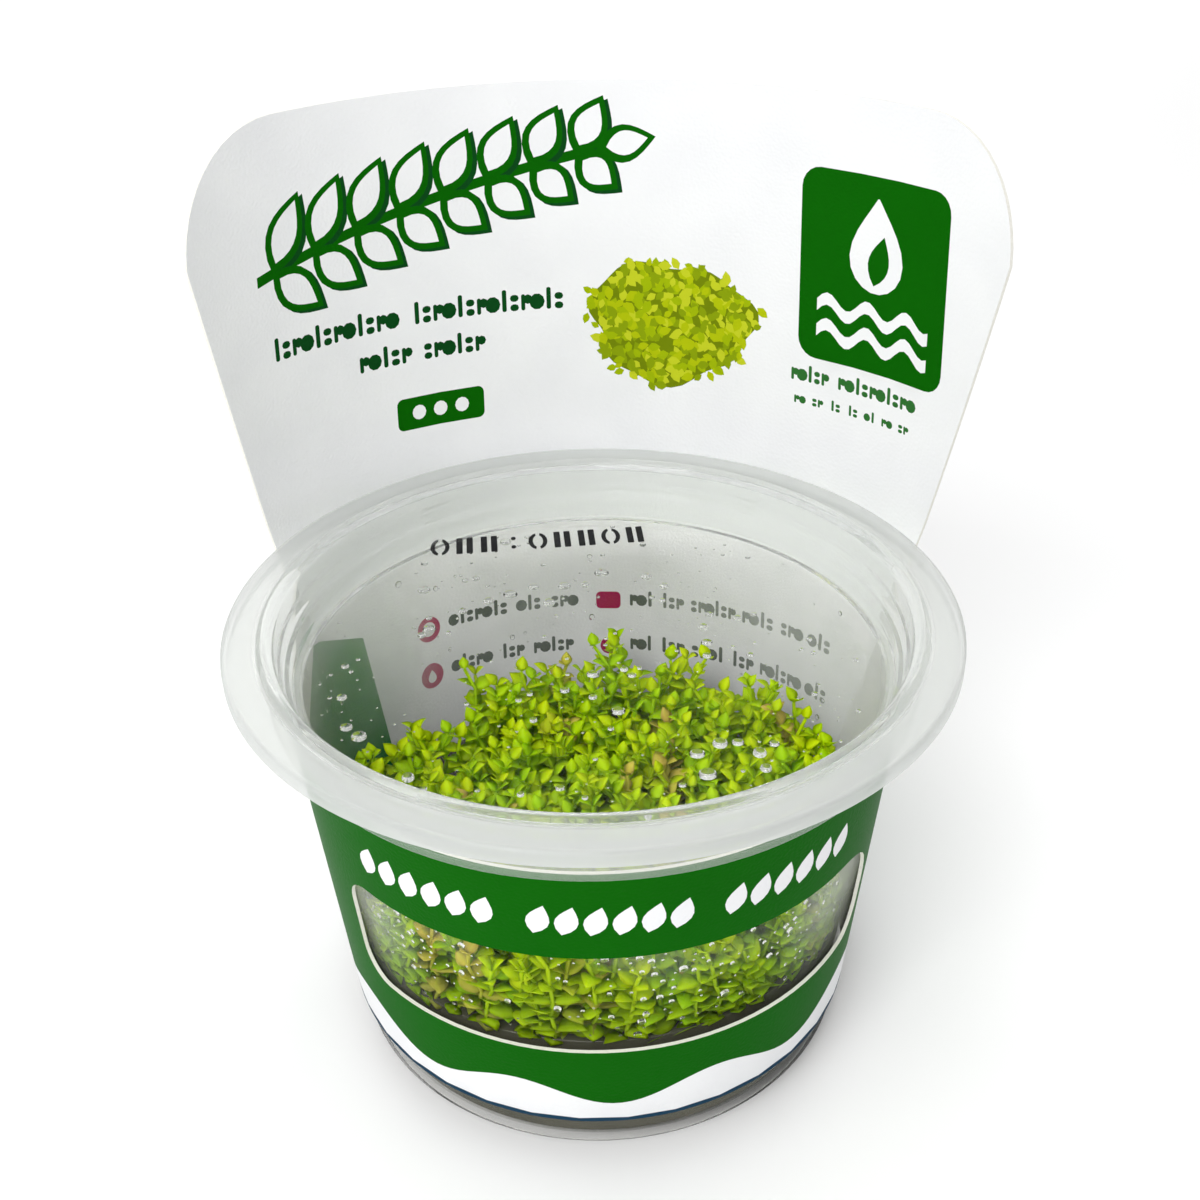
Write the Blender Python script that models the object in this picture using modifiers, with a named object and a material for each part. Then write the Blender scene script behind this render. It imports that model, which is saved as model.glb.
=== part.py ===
"""Tissue-culture cup of dwarf baby tears.

A clear round cup with growing gel and seven clumps of small-leaved plants, closed by a clear recessed lid
and wrapped in a card that has a window at the front and a tall header behind.
Metres, +Z up. The origin is the centre of the cup's flat base, and the window faces -Y.
"""
import math
import random

import bmesh
import bpy
from mathutils import Vector

MM = 0.001
GAP = 0.3  # millimetres between pieces that touch
SEGMENTS = 44  # facets round a turned piece

# Cup, in millimetres
BASE_RADIUS = 36.6
SHOULDER_Z = 55.3
BODY_TOP_RADIUS = 41.7
NECK_RADIUS = (44.2, 44.9)  # at the shoulder and under the rim
CUP_RIM_RADIUS = 48.9
CUP_RIM_Z = (62.4, 63.5)
WALL = 0.8
FLOOR = 1.0
BASE_CORNER = 1.4

# Lid
LID_RADIUS = 50.0
LID_TOP_Z = 64.8
LID_SKIRT_Z = 62.6
LID_SHEET = 0.7
WELL_FLOOR_Z = 57.2
WELL_FLOOR_RADIUS = 40.6
WELL_WALL = ((0.8, 0.7), (1.0, 2.4), (1.8, 2.9))  # steps of the well's wall, outwards and upwards
WELL_WALL_TOP = (2.5, 0.4)  # outwards from the floor, and below the flange
BEAD = ((-0.5, 0.7), (0.4, 0.7), (1.1, 0.0))  # outwards from BEAD_RADIUS, and above the flange
BEAD_RADIUS = 44.3
LID_EDGE = 0.5

# Growing gel
GEL_TOP_Z = 20.5
MENISCUS = (2.5, 1.0)  # width and height

# Card
CARD = 0.5
CARD_BOTTOM_Z = 7.4
STRIP_TOP_Z = 55.0
CARD_TOP_Z = 120.8
CARD_CORNER = 17.0
PANEL_BACK_Y = 50.6  # where the panel passes behind the lid's edge
PANEL_BACK_Z = 63.0
PANEL_LEAN = 0.2095  # outward run for each unit of height
PANEL_BOW = (38.9, 62.0, 64.6)  # plan radius at the card's bottom, at the lid and at the top
PANEL_HALF_WIDTH = 57.0  # along the bow, at PANEL_WIDTH_Z
PANEL_WIDTH_Z = 61.0
PANEL_FLARE = 0.287
PANEL_SKEW = (1.2, 0.035)  # sideways shift at PANEL_WIDTH_Z, and its growth with height
WINDOW_Z = (21.5, 40.1)
WINDOW_TURN = (-53.8, 65.5)  # degrees from the front to the window's left and right end
WINDOW_CORNERS = ((5.0, 5.0), (5.0, 10.0))  # bottom and top corner radius, at the left and at the right
WINDOW_CORNER_STEPS = 3
WINDOW_COLUMNS = 9
FOLD_TURN = 118.0  # degrees from the front to the folds between the strip and the panel
FOLD_ROWS = (27.0, 34.0)  # where the rows of faces along the window's edges meet the folds
STRIP_END_COLUMNS = (5, 4)  # between the window and the left fold, and the right fold
PANEL_COLUMNS = 16
HEADER_ROWS = (64.0, 78.0, 92.0)
HEADER_CORNER_STEPS = 6

# Plants
CLUMP_SPACING = 24.8
CLUMP_WALL_RADIUS = 37.0  # from the cup's axis, that no leaf passes
CLUMP_SEAM = 0.4  # between the leaf tips of two clumps
DOME_SHARE = 0.82  # of the clump's reach
DOME_HEIGHT = 11.8
DOME_COLUMNS = 12
DOME_ROWS = 5
LEAF = (4.6, 3.2, 0.9)  # length, width, thickness
LEAF_SECTIONS = ((0.12, 0.42, 1.0), (0.5, 1.0, 1.0), (1.0, 0.1, 0.4))  # shares of length, width, thickness
LEAF_RISE = (0.35, 0.75, 1.3, 2.4)  # climb for each unit outwards, from the dome's lowest row up
LEAF_RISE_SPREAD = (0.85, 1.25)
LEAF_LENGTH_SPREAD = (0.9, 1.15)
STEM = 1.1
STEM_TIP = (0.9, 0.5)  # shares of the stem's width and of the step to the next node
STEM_LEAN = 0.12
SPRIG_NODE = 2.6  # height between two pairs of leaves
SPRIG_LEAF_RISE = 0.7
SPRIG_LEAF_SHARES = (0.9, 0.1)  # size of the lowest pair, and what each higher pair loses
CLUMPS = {
    # name: (turn from the front in degrees, distance in spacings, size, pairs of leaves on the sprig)
    "plant_clump_centre": (0, 0.0, 1.00, 2),
    "plant_clump_front": (5, 1.0, 1.00, 1),
    "plant_clump_front_right": (65, 1.0, 0.98, 2),
    "plant_clump_back_right": (125, 1.0, 0.98, 3),
    "plant_clump_back": (185, 1.0, 0.96, 4),
    "plant_clump_back_left": (245, 1.0, 0.92, 3),
    "plant_clump_front_left": (305, 1.0, 0.86, 1),
}


def clear_scene():
    for ob in list(bpy.data.objects):
        bpy.data.objects.remove(ob)


def collection(name):
    group = bpy.data.collections.new(name)
    bpy.context.scene.collection.children.link(group)
    return group


def material(name, colour, roughness, clear=0.0, alpha=1.0):
    mat = bpy.data.materials.new(name)
    mat.use_nodes = True
    shader = mat.node_tree.nodes["Principled BSDF"]
    shader.inputs["Base Color"].default_value = (*colour, 1)
    shader.inputs["Roughness"].default_value = roughness
    shader.inputs["Metallic"].default_value = 0.0
    shader.inputs["Transmission Weight"].default_value = clear
    shader.inputs["Alpha"].default_value = alpha
    mat.diffuse_color = (*colour, alpha)
    return mat


def add_object(name, mesh, mat, group, sharp_degrees=None):
    mesh.materials.append(mat)
    ob = bpy.data.objects.new(name, mesh)
    group.objects.link(ob)
    if sharp_degrees is not None:
        mesh.shade_smooth()
        mesh.set_sharp_from_angle(angle=math.radians(sharp_degrees))
    return ob


def turned(name, profile, mat, group):
    """A body turned about +Z from (radius, height) points that run out, down the outer side and back."""
    mesh = bpy.data.meshes.new(name)
    points = [(r * MM, 0, z * MM) for r, z in profile]
    mesh.from_pydata(points, [(i, i + 1) for i in range(len(points) - 1)], [])
    ob = add_object(name, mesh, mat, group)
    turn = ob.modifiers.new("turn", "SCREW")
    turn.steps = turn.render_steps = SEGMENTS
    turn.use_merge_vertices = True
    turn.merge_threshold = 0.00001
    turn.use_smooth_shade = True
    return ob


def body_radius(z):
    """Outer radius of the cup's tapered body."""
    return BASE_RADIUS + (BODY_TOP_RADIUS - BASE_RADIUS) * z / SHOULDER_Z


def make_cup(group):
    inner_shoulder = SHOULDER_Z + WALL
    outer = [
        (CUP_RIM_RADIUS, CUP_RIM_Z[1]),
        (CUP_RIM_RADIUS, CUP_RIM_Z[0]),
        (NECK_RADIUS[1], CUP_RIM_Z[0]),
        (NECK_RADIUS[0], SHOULDER_Z),
        (BODY_TOP_RADIUS, SHOULDER_Z),
        (body_radius(BASE_CORNER), BASE_CORNER),
        (BASE_RADIUS - BASE_CORNER, 0),
        (0, 0),
    ]
    inner = [
        (0, FLOOR),
        (BASE_RADIUS - BASE_CORNER - WALL, FLOOR),
        (body_radius(BASE_CORNER + FLOOR) - WALL, BASE_CORNER + FLOOR),
        (body_radius(inner_shoulder) - WALL, inner_shoulder),
        (NECK_RADIUS[0] - WALL, inner_shoulder),
        (NECK_RADIUS[1] - WALL, CUP_RIM_Z[1]),
    ]
    plastic = material("cup_plastic", (0.9, 0.92, 0.92), 0.12, 1.0, 0.3)
    return turned("cup", inner + outer, plastic, group)


def make_lid(group):
    """Top face from the well's centre out to the edge, then down the skirt and back along the underside."""
    under_flange = CUP_RIM_Z[1] + GAP
    wall = [(WELL_FLOOR_RADIUS + out, WELL_FLOOR_Z + up) for out, up in WELL_WALL]
    top = [
        (0, WELL_FLOOR_Z),
        (WELL_FLOOR_RADIUS, WELL_FLOOR_Z),
        *wall,
        (WELL_FLOOR_RADIUS + WELL_WALL_TOP[0], LID_TOP_Z - WELL_WALL_TOP[1]),
        *((BEAD_RADIUS + out, LID_TOP_Z + up) for out, up in BEAD),
        (LID_RADIUS - LID_EDGE, LID_TOP_Z),
        (LID_RADIUS, LID_TOP_Z - LID_EDGE),
        (LID_RADIUS, LID_SKIRT_Z),
    ]
    under = [
        (CUP_RIM_RADIUS + GAP, LID_SKIRT_Z),
        (CUP_RIM_RADIUS + GAP, under_flange),
        (WELL_FLOOR_RADIUS + WELL_WALL_TOP[0] + LID_SHEET, under_flange),
        *((radius + LID_SHEET, z) for radius, z in reversed(wall[1:])),
        (wall[0][0], WELL_FLOOR_Z - LID_SHEET),
        (0, WELL_FLOOR_Z - LID_SHEET),
    ]
    plastic = material("lid_plastic", (0.93, 0.95, 0.95), 0.1, 1.0, 0.3)
    return turned("lid", top + under, plastic, group)


def make_gel(group):
    """The set gel fills the cup's bottom and creeps up the wall in a thin meniscus."""
    low = FLOOR + GAP
    inside = WALL + GAP
    profile = [
        (0, GEL_TOP_Z),
        (body_radius(GEL_TOP_Z) - inside - MENISCUS[0], GEL_TOP_Z),
        (body_radius(GEL_TOP_Z) - inside, GEL_TOP_Z + MENISCUS[1]),
        (body_radius(low + BASE_CORNER) - inside, low + BASE_CORNER),
        (BASE_RADIUS - BASE_CORNER - inside, low),
        (0, low),
    ]
    gel = material("gel", (0.62, 0.62, 0.55), 0.15, 0.8, 0.6)
    return turned("growing_gel", profile, gel, group)


def panel_bow(z):
    low, middle, high = PANEL_BOW
    if z < PANEL_BACK_Z:
        return low + (middle - low) * (z - CARD_BOTTOM_Z) / (PANEL_BACK_Z - CARD_BOTTOM_Z)
    return middle + (high - middle) * (z - PANEL_BACK_Z) / (CARD_TOP_Z - PANEL_BACK_Z)


def panel_half_width(z):
    """Half the panel's width along its bow, with the header's top corners rounded."""
    width = PANEL_HALF_WIDTH + PANEL_FLARE * (z - PANEL_WIDTH_Z)
    above = z - (CARD_TOP_Z - CARD_CORNER)
    if above > 0:
        width += -PANEL_FLARE * above - CARD_CORNER + math.sqrt(max(0, CARD_CORNER**2 - above**2))
    return width


def panel_point(share, z):
    """A point on the panel's inner face; share runs from -1 at the left edge to 1 at the right edge."""
    bow = panel_bow(z)
    along = share * panel_half_width(z) + PANEL_SKEW[0] + PANEL_SKEW[1] * (z - PANEL_WIDTH_Z)
    back = PANEL_BACK_Y + PANEL_LEAN * (z - PANEL_BACK_Z)
    return Vector((bow * math.sin(along / bow), back - bow + bow * math.cos(along / bow), z)) * MM


def strip_point(share, z):
    """A point on the strip's inner face: round the cup's front, then straight to the panel's edge.

    share runs from -1 at the left fold to 1 at the right fold.
    """
    side = -1 if share < 0 else 1
    fold = panel_point(side, z) / MM
    fold_turn = math.atan2(side * fold.x, -fold.y)
    radius = body_radius(z) + GAP
    leaves_cup = fold_turn - math.acos(radius / math.hypot(fold.x, fold.y))
    turn = abs(share) * fold_turn
    reach = radius if turn <= leaves_cup else radius / math.cos(turn - leaves_cup)
    return Vector((side * reach * math.sin(turn), -reach * math.cos(turn), z)) * MM


def window_outline(turn, mm_per_degree):
    """Heights of the window's lower and upper edge at a turn from the front."""
    left, right = WINDOW_TURN
    at_left = turn < (left + right) / 2
    inset = min(turn - left, right - turn) * mm_per_degree
    cuts = []
    for radius in WINDOW_CORNERS[0 if at_left else 1]:
        short = max(0, radius - inset)
        cuts.append(radius - math.sqrt(max(0, radius**2 - short**2)))
    return WINDOW_Z[0] + cuts[0], WINDOW_Z[1] - cuts[1]


def window_columns():
    """Shares of the strip across the window, each with the heights of its lower and upper edge."""
    left, right = WINDOW_TURN
    mm_per_degree = math.radians(1) * (body_radius(sum(WINDOW_Z) / 2) + GAP)
    turns = set()
    for end, inwards, corners in ((left, 1, WINDOW_CORNERS[0]), (right, -1, WINDOW_CORNERS[1])):
        for radius in corners:
            for step in range(WINDOW_CORNER_STEPS + 1):
                inset = radius * (1 - math.cos(math.pi / 2 * step / WINDOW_CORNER_STEPS))
                turns.add(round(end + inwards * inset / mm_per_degree, 3))
    flat_left = left + max(WINDOW_CORNERS[0]) / mm_per_degree
    flat_right = right - max(WINDOW_CORNERS[1]) / mm_per_degree
    for step in range(1, WINDOW_COLUMNS):
        turns.add(round(flat_left + (flat_right - flat_left) * step / WINDOW_COLUMNS, 3))
    return [(turn / FOLD_TURN, *window_outline(turn, mm_per_degree)) for turn in sorted(turns)]


def strip_stations():
    """The strip's columns from fold to fold: share, heights of the four rows, and whether in the window."""
    window = window_columns()
    stations = []
    for side, edge, count in zip((-1, 1), (window[0], window[-1]), STRIP_END_COLUMNS):
        for step in range(count):
            from_fold = step / count
            share = side + (edge[0] - side) * from_fold
            low = FOLD_ROWS[0] + (edge[1] - FOLD_ROWS[0]) * from_fold
            high = FOLD_ROWS[1] + (edge[2] - FOLD_ROWS[1]) * from_fold
            stations.append((share, (CARD_BOTTOM_Z, low, high, STRIP_TOP_Z), False))
    stations += [(share, (CARD_BOTTOM_Z, low, high, STRIP_TOP_Z), True) for share, low, high in window]
    return sorted(stations)


def make_card(group):
    """One die-cut card: the strip with its window, and the panel behind that rises to the header."""
    bm = bmesh.new()
    columns = []
    for share, rows, hole in strip_stations():
        columns.append(([bm.verts.new(strip_point(share, z)) for z in rows], hole))
    for (left, left_hole), (right, right_hole) in zip(columns, columns[1:]):
        for row in range(3):
            if row == 1 and left_hole and right_hole:
                continue
            bm.faces.new((left[row], right[row], right[row + 1], left[row + 1]))

    heights = [CARD_BOTTOM_Z, *FOLD_ROWS, STRIP_TOP_Z, *HEADER_ROWS]
    for step in range(HEADER_CORNER_STEPS + 1):
        below_top = 1 - math.sin(math.pi / 2 * step / HEADER_CORNER_STEPS)
        heights.append(CARD_TOP_Z - CARD_CORNER * below_top)
    shares = [2 * step / PANEL_COLUMNS - 1 for step in range(PANEL_COLUMNS + 1)]
    grid = [[bm.verts.new(panel_point(share, z)) for z in heights] for share in shares]
    for left, right in zip(grid, grid[1:]):
        for row in range(len(heights) - 1):
            bm.faces.new((right[row], left[row], left[row + 1], right[row + 1]))
    bmesh.ops.remove_doubles(bm, verts=bm.verts, dist=0.00002)
    mesh = bpy.data.meshes.new("card_sleeve")
    bm.to_mesh(mesh)
    bm.free()
    ob = add_object("card_sleeve", mesh, material("printed_card", (0.85, 0.86, 0.88), 0.45), group, 25)
    shell = ob.modifiers.new("card thickness", "SOLIDIFY")
    shell.thickness = CARD * MM
    shell.offset = 1
    shell.use_even_offset = True
    return ob


def reshape(face, centre, side, up, width, thick):
    """Move a quad's corners to a small rectangle of the given width and thickness about centre."""
    middle = face.calc_center_median()
    for vert in face.verts:
        away = vert.co - middle
        across = math.copysign(width / 2, away.dot(side))
        over = math.copysign(thick / 2, away.dot(up))
        vert.co = centre + side * across + up * over


def push_out(bm, face):
    """Extrude one face and give back its moved copy."""
    return bmesh.ops.extrude_discrete_faces(bm, faces=[face])["faces"][0]


def grow_leaf(bm, face, direction, length, width, thick):
    """A pointed oval leaf grown out of a quad: a short stalk, the broad middle and the tip."""
    root = face.calc_center_median()
    direction = direction.normalized()
    side = direction.cross(Vector((0, 0, 1))).normalized()
    up = side.cross(direction)
    for along, broad, deep in LEAF_SECTIONS:
        face = push_out(bm, face)
        reshape(face, root + direction * length * along, side, up, width * broad, thick * deep)


def grow_sprig(bm, face, pairs, lean):
    """An upright stem grown out of a quad, with pairs of leaves that cross from node to node."""
    centre = face.calc_center_median()
    across, along = Vector((1, 0, 0)), Vector((0, 1, 0))
    stem = STEM * MM
    step = Vector((lean[0], lean[1], 1)).normalized() * SPRIG_NODE * MM
    length, width, thick = (size * MM for size in LEAF)
    for node in range(pairs):
        face = push_out(bm, face)
        centre = centre + step
        if node == 0:
            side = (face.verts[1].co - face.verts[0].co).normalized()
            side = Vector((side.x, side.y, 0)).normalized()
            across, along = side, Vector((0, 0, 1)).cross(side)
        reshape(face, centre, across, along, stem, stem)
        if node == 0:
            continue
        bm.normal_update()
        walls = [f for edge in face.edges for f in edge.link_faces if f is not face]
        facing = across if node % 2 else along
        share = SPRIG_LEAF_SHARES[0] - SPRIG_LEAF_SHARES[1] * node
        sides = [(max(walls, key=lambda f: f.normal.dot(facing) * sign), sign) for sign in (1, -1)]
        for wall, sign in sides:
            outward = facing * sign + Vector((0, 0, SPRIG_LEAF_RISE))
            grow_leaf(bm, wall, outward, length * share, width * share, thick)
    face = push_out(bm, face)
    reshape(face, centre + step * STEM_TIP[1], across, along, stem * STEM_TIP[0], stem * STEM_TIP[1])


def clump_centre(name):
    turn, distance = CLUMPS[name][:2]
    around = math.radians(turn)
    return Vector((math.sin(around), -math.cos(around))) * distance * CLUMP_SPACING


def clump_reach(name, heading):
    """How far a clump may spread along a heading before it meets the next clump or the cup's wall."""
    centre = clump_centre(name)
    along = centre.dot(heading)
    reach = -along + math.sqrt(along**2 + CLUMP_WALL_RADIUS**2 - centre.length_squared)
    for other in CLUMPS:
        apart = clump_centre(other) - centre
        if apart.length > 0 and apart.dot(heading) > 0:
            half = (apart.length - CLUMP_SEAM) / 2
            reach = min(reach, half * apart.length / apart.dot(heading))
    return reach


def make_clump(name, mat, group, seed):
    """A dome of crowded leaves that fills its share of the gel, with one sprig that stands above it."""
    size, pairs = CLUMPS[name][2:]
    rng = random.Random(seed)
    bm = bmesh.new()
    bmesh.ops.create_uvsphere(bm, u_segments=DOME_COLUMNS, v_segments=2 * DOME_ROWS, radius=1)
    bmesh.ops.delete(bm, geom=[v for v in bm.verts if v.co.z < -0.01], context="VERTS")
    bmesh.ops.holes_fill(bm, edges=[e for e in bm.edges if e.is_boundary])
    for vert in bm.verts:
        flat = vert.co.xy
        radius = DOME_SHARE * size * clump_reach(name, flat.normalized()) if flat.length > 0.001 else 0
        vert.co = Vector((*(flat * radius), vert.co.z * DOME_HEIGHT * size)) * MM
    bm.normal_update()
    cells = [f for f in bm.faces if len(f.verts) == 4]
    length, width, thick = (value * MM for value in LEAF)
    rows = sorted({round(f.calc_center_median().z, 6) for f in cells})
    chosen = []
    for face in cells:
        middle = face.calc_center_median()
        row = min(range(len(rows)), key=lambda index: abs(rows[index] - middle.z))
        column = round(math.atan2(middle.y, middle.x) / math.tau * DOME_COLUMNS - 0.5)
        if (row + column) % 2 == 0:
            chosen.append((row, column % DOME_COLUMNS, face))
    sprig_cell = rng.choice([cell for cell in chosen if cell[0] == len(rows) - 1])
    for row, _, face in sorted(chosen, key=lambda cell: cell[:2]):
        if face is sprig_cell[2]:
            continue
        middle = face.calc_center_median()
        outward = Vector((middle.x, middle.y, 0)).normalized()
        rise = LEAF_RISE[row] * rng.uniform(*LEAF_RISE_SPREAD)
        direction = (outward + Vector((0, 0, rise))).normalized()
        free = clump_reach(name, outward.xy) * MM * size - middle.xy.length
        longest = free / max(0.05, direction.xy.length)
        own_length = min(length * rng.uniform(*LEAF_LENGTH_SPREAD), longest)
        grow_leaf(bm, face, direction, own_length, width, thick)
    bm.normal_update()
    lean = (rng.uniform(-STEM_LEAN, STEM_LEAN), rng.uniform(-STEM_LEAN, STEM_LEAN))
    grow_sprig(bm, sprig_cell[2], pairs + 1, lean)
    place = Vector((*clump_centre(name), GEL_TOP_Z + GAP)) * MM
    bmesh.ops.translate(bm, verts=bm.verts, vec=place)
    mesh = bpy.data.meshes.new(name)
    bm.to_mesh(mesh)
    bm.free()
    return add_object(name, mesh, mat, group, 40)


def main():
    clear_scene()
    group = collection("dwarf_baby_tears_cup")
    make_cup(group)
    make_gel(group)
    leaf = material("leaf", (0.32, 0.52, 0.03), 0.45)
    for seed, name in enumerate(CLUMPS, start=1):
        make_clump(name, leaf, group, seed)
    make_lid(group)
    make_card(group)


main()
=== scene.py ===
# %% [markdown]
# A tissue-culture cup of dwarf baby tears.
# A laboratory grows this small carpet plant on a sterile gel in a clear cup. A recessed clear lid closes
# the cup, and a printed card goes round it, with a window at the front and a tall header behind. This
# notebook dresses the solid model of that cup: each cell makes one piece or one finish and prints what it
# made.

# %% Load the frame
import math
import random

import bmesh
import bpy
from mathutils import Matrix, Vector
from mathutils.geometry import delaunay_2d_cdt


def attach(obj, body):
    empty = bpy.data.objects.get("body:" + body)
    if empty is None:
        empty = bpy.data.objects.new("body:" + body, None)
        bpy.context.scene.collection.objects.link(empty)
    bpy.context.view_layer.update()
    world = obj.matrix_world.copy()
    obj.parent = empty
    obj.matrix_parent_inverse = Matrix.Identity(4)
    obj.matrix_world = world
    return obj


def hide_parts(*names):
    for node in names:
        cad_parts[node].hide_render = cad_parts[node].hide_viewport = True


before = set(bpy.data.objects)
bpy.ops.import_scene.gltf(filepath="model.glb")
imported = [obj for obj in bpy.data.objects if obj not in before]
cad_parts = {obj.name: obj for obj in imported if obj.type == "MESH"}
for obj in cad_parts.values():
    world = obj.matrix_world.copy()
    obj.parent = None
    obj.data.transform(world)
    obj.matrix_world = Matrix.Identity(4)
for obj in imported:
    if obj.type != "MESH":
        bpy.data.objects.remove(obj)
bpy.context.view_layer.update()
MM = 0.001
print("nodes:", ", ".join(sorted(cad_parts)))

# %% [markdown]
# The sizes of the turned pieces.
# The cup and the lid are moulded in one go, so a few radii and heights describe them. They are the solid
# model's own sizes in millimetres, and the finer mould marks below are set out from them.

# %% Name the sizes
BASE_RADIUS = 36.6
BODY_TOP_RADIUS = 41.7
SHOULDER_Z = 55.3
NECK_RADIUS = (44.2, 44.9)
CUP_RIM_RADIUS = 48.9
CUP_RIM_Z = (62.4, 63.5)
WALL = 0.8
LID_RADIUS = 50.0
LID_TOP_Z = 64.8
LID_SKIRT_Z = 62.6
WELL_FLOOR_Z = 57.2
WELL_FLOOR_RADIUS = 40.6
LID_SHEET = 0.7
GEL_TOP_Z = 20.5
TURN_STEPS = 160


def body_radius(z):
    """Outer radius of the cup's tapered body."""
    return BASE_RADIUS + (BODY_TOP_RADIUS - BASE_RADIUS) * z / SHOULDER_Z


# %% [markdown]
# Shader maths as Python.
# A Principled shader can be steered by formulas, but a tree of Math nodes is hard to read. The small
# class Signal wraps a socket, so that an expression such as 1 - mask adds its nodes by itself. Look holds
# one material, and its add method makes every other node: settings first, then the sockets' values or
# links.


# %% Write shader maths as expressions
class Signal:
    """A node's output that adds a Math node whenever an operator is used on it."""

    def __init__(self, net, socket):
        self.net = net
        self.socket = socket

    def math(self, operation, *values):
        return self.net.add("Math", {"operation": operation}, dict(enumerate((self, *values))))

    def beside(self, key):
        """Another output of the same node."""
        return Signal(self.net, pick(self.socket.node.outputs, key))

    def __add__(self, other):
        return self.math("ADD", other)

    def __sub__(self, other):
        return self.math("SUBTRACT", other)

    def __mul__(self, other):
        return self.math("MULTIPLY", other)

    def __truediv__(self, other):
        return self.math("DIVIDE", other)

    def __pow__(self, other):
        return self.math("POWER", other)

    def __rsub__(self, other):
        return (self * -1) + other

    __radd__ = __add__
    __rmul__ = __mul__

    def between(self, low, high):
        """A soft step from 0 at low to 1 at high; low may be the larger one."""
        sockets = {"Value": self, "From Min": low, "From Max": high}
        return self.net.add("MapRange", {"interpolation_type": "SMOOTHSTEP"}, sockets)


class Net:
    """A node tree that nodes are added to by kind."""

    def __init__(self, tree):
        self.tree = tree

    def add(self, kind, settings=None, sockets=None, out=0):
        prefix = "" if kind.startswith(("Geometry", "Function")) else "ShaderNode"
        node = self.tree.nodes.new(prefix + kind)
        for key, value in (settings or {}).items():
            if key == "stops":
                set_stops(node.color_ramp, value)
            else:
                setattr(node, key, value)
        for key, value in (sockets or {}).items():
            socket = pick(node.inputs, key)
            if isinstance(value, Signal):
                self.tree.links.new(value.socket, socket)
            else:
                socket.default_value = (*value, 1) if socket.type == "RGBA" and len(value) == 3 else value
        return Signal(self, pick(node.outputs, out))

    def vectors(self, operation, first, second=None, out="Vector"):
        sockets = {0: first} if second is None else {0: first, 1: second}
        return self.add("VectorMath", {"operation": operation}, sockets, out)

    def from_axis(self, place):
        """Distance of a place from the cup's axis."""
        return self.vectors("LENGTH", self.vectors("MULTIPLY", place, (1.0, 1.0, 0.0)), out="Value")


class Look(Net):
    """One material and the nodes in it."""

    def __init__(self, name):
        self.material = bpy.data.materials.new(name)
        self.material.use_nodes = True
        super().__init__(self.material.node_tree)
        self.tree.nodes.clear()

    def mix(self, share, first, second, blend="MIX"):
        sockets = {"Factor_Float": share, "A_Color": first, "B_Color": second}
        settings = {"data_type": "RGBA", "blend_type": blend}
        return self.add("Mix", settings, sockets, "Result_Color")

    def place(self):
        """Object coordinates in millimetres."""
        metres = self.add("TexCoord", out="Object")
        return self.add("VectorMath", {"operation": "SCALE"}, {"Vector": metres, "Scale": 1 / MM})

    def noise(self, where, scale, detail=2.0):
        return self.add("TexNoise", None, {"Vector": where, "Scale": scale, "Detail": detail}, "Fac")

    def bump(self, height, strength, distance):
        sockets = {"Height": height, "Strength": strength, "Distance": distance}
        return self.add("Bump", None, sockets)

    def finish(self, shader):
        output = self.tree.nodes.new("ShaderNodeOutputMaterial")
        self.tree.links.new(shader.socket, output.inputs["Surface"])
        return self.material


def pick(sockets, key):
    """A socket by its place, its identifier or its name."""
    if isinstance(key, int):
        return sockets[key]
    for socket in sockets:
        if socket.identifier == key:
            return socket
    return sockets[key]


def set_stops(ramp, stops):
    while len(ramp.elements) < len(stops):
        ramp.elements.new(0.5)
    for element, (position, colour) in zip(ramp.elements, stops):
        element.position = position
        element.color = (*colour, 1)


print("shader helpers ready")

# %% [markdown]
# The camera.
# The photograph looks down at the cup from about 32 degrees above, close enough for strong perspective.
# The camera is described by where it stands and by its pitch, yaw and roll, and the lens length by its
# field of view in a frame of 1200 by 1200.

# %% Set the camera
CAMERA_PLACE = (0.0, -173.4, 173.3)
CAMERA_PITCH = -31.72
CAMERA_YAW = 0.33
CAMERA_ROLL = -1.05
FRAME_SIDE = 1200
FOCAL_PIXELS = 1496.7


def make_camera():
    pitch, yaw, roll = (math.radians(angle) for angle in (CAMERA_PITCH, CAMERA_YAW, CAMERA_ROLL))
    ahead = Vector((math.sin(yaw) * math.cos(pitch), math.cos(yaw) * math.cos(pitch), math.sin(pitch)))
    right = ahead.cross(Vector((0, 0, 1))).normalized()
    up = right.cross(ahead)
    right, up = right * math.cos(roll) + up * math.sin(roll), up * math.cos(roll) - right * math.sin(roll)
    data = bpy.data.cameras.new("camera")
    data.lens = data.sensor_width * FOCAL_PIXELS / FRAME_SIDE
    data.clip_start = 0.01
    camera = bpy.data.objects.new("camera", data)
    turn = Matrix((right, up, -ahead)).transposed().to_4x4()
    camera.matrix_world = Matrix.Translation(Vector(CAMERA_PLACE) * MM) @ turn
    bpy.context.scene.collection.objects.link(camera)
    bpy.context.scene.camera = camera
    return camera


print("lens:", round(make_camera().data.lens, 1), "mm")

# %% [markdown]
# Floor and light.
# A product shot stands on white paper under large soft lamps. The floor is one big pale sheet, the world
# gives an even fill, and five area lamps do the rest: a wide one above and behind, one at the left that
# leaves the header's left side in shade, the main one above the camera, which shines through the lid, a
# low one for the strip, and one for the far paper.

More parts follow.
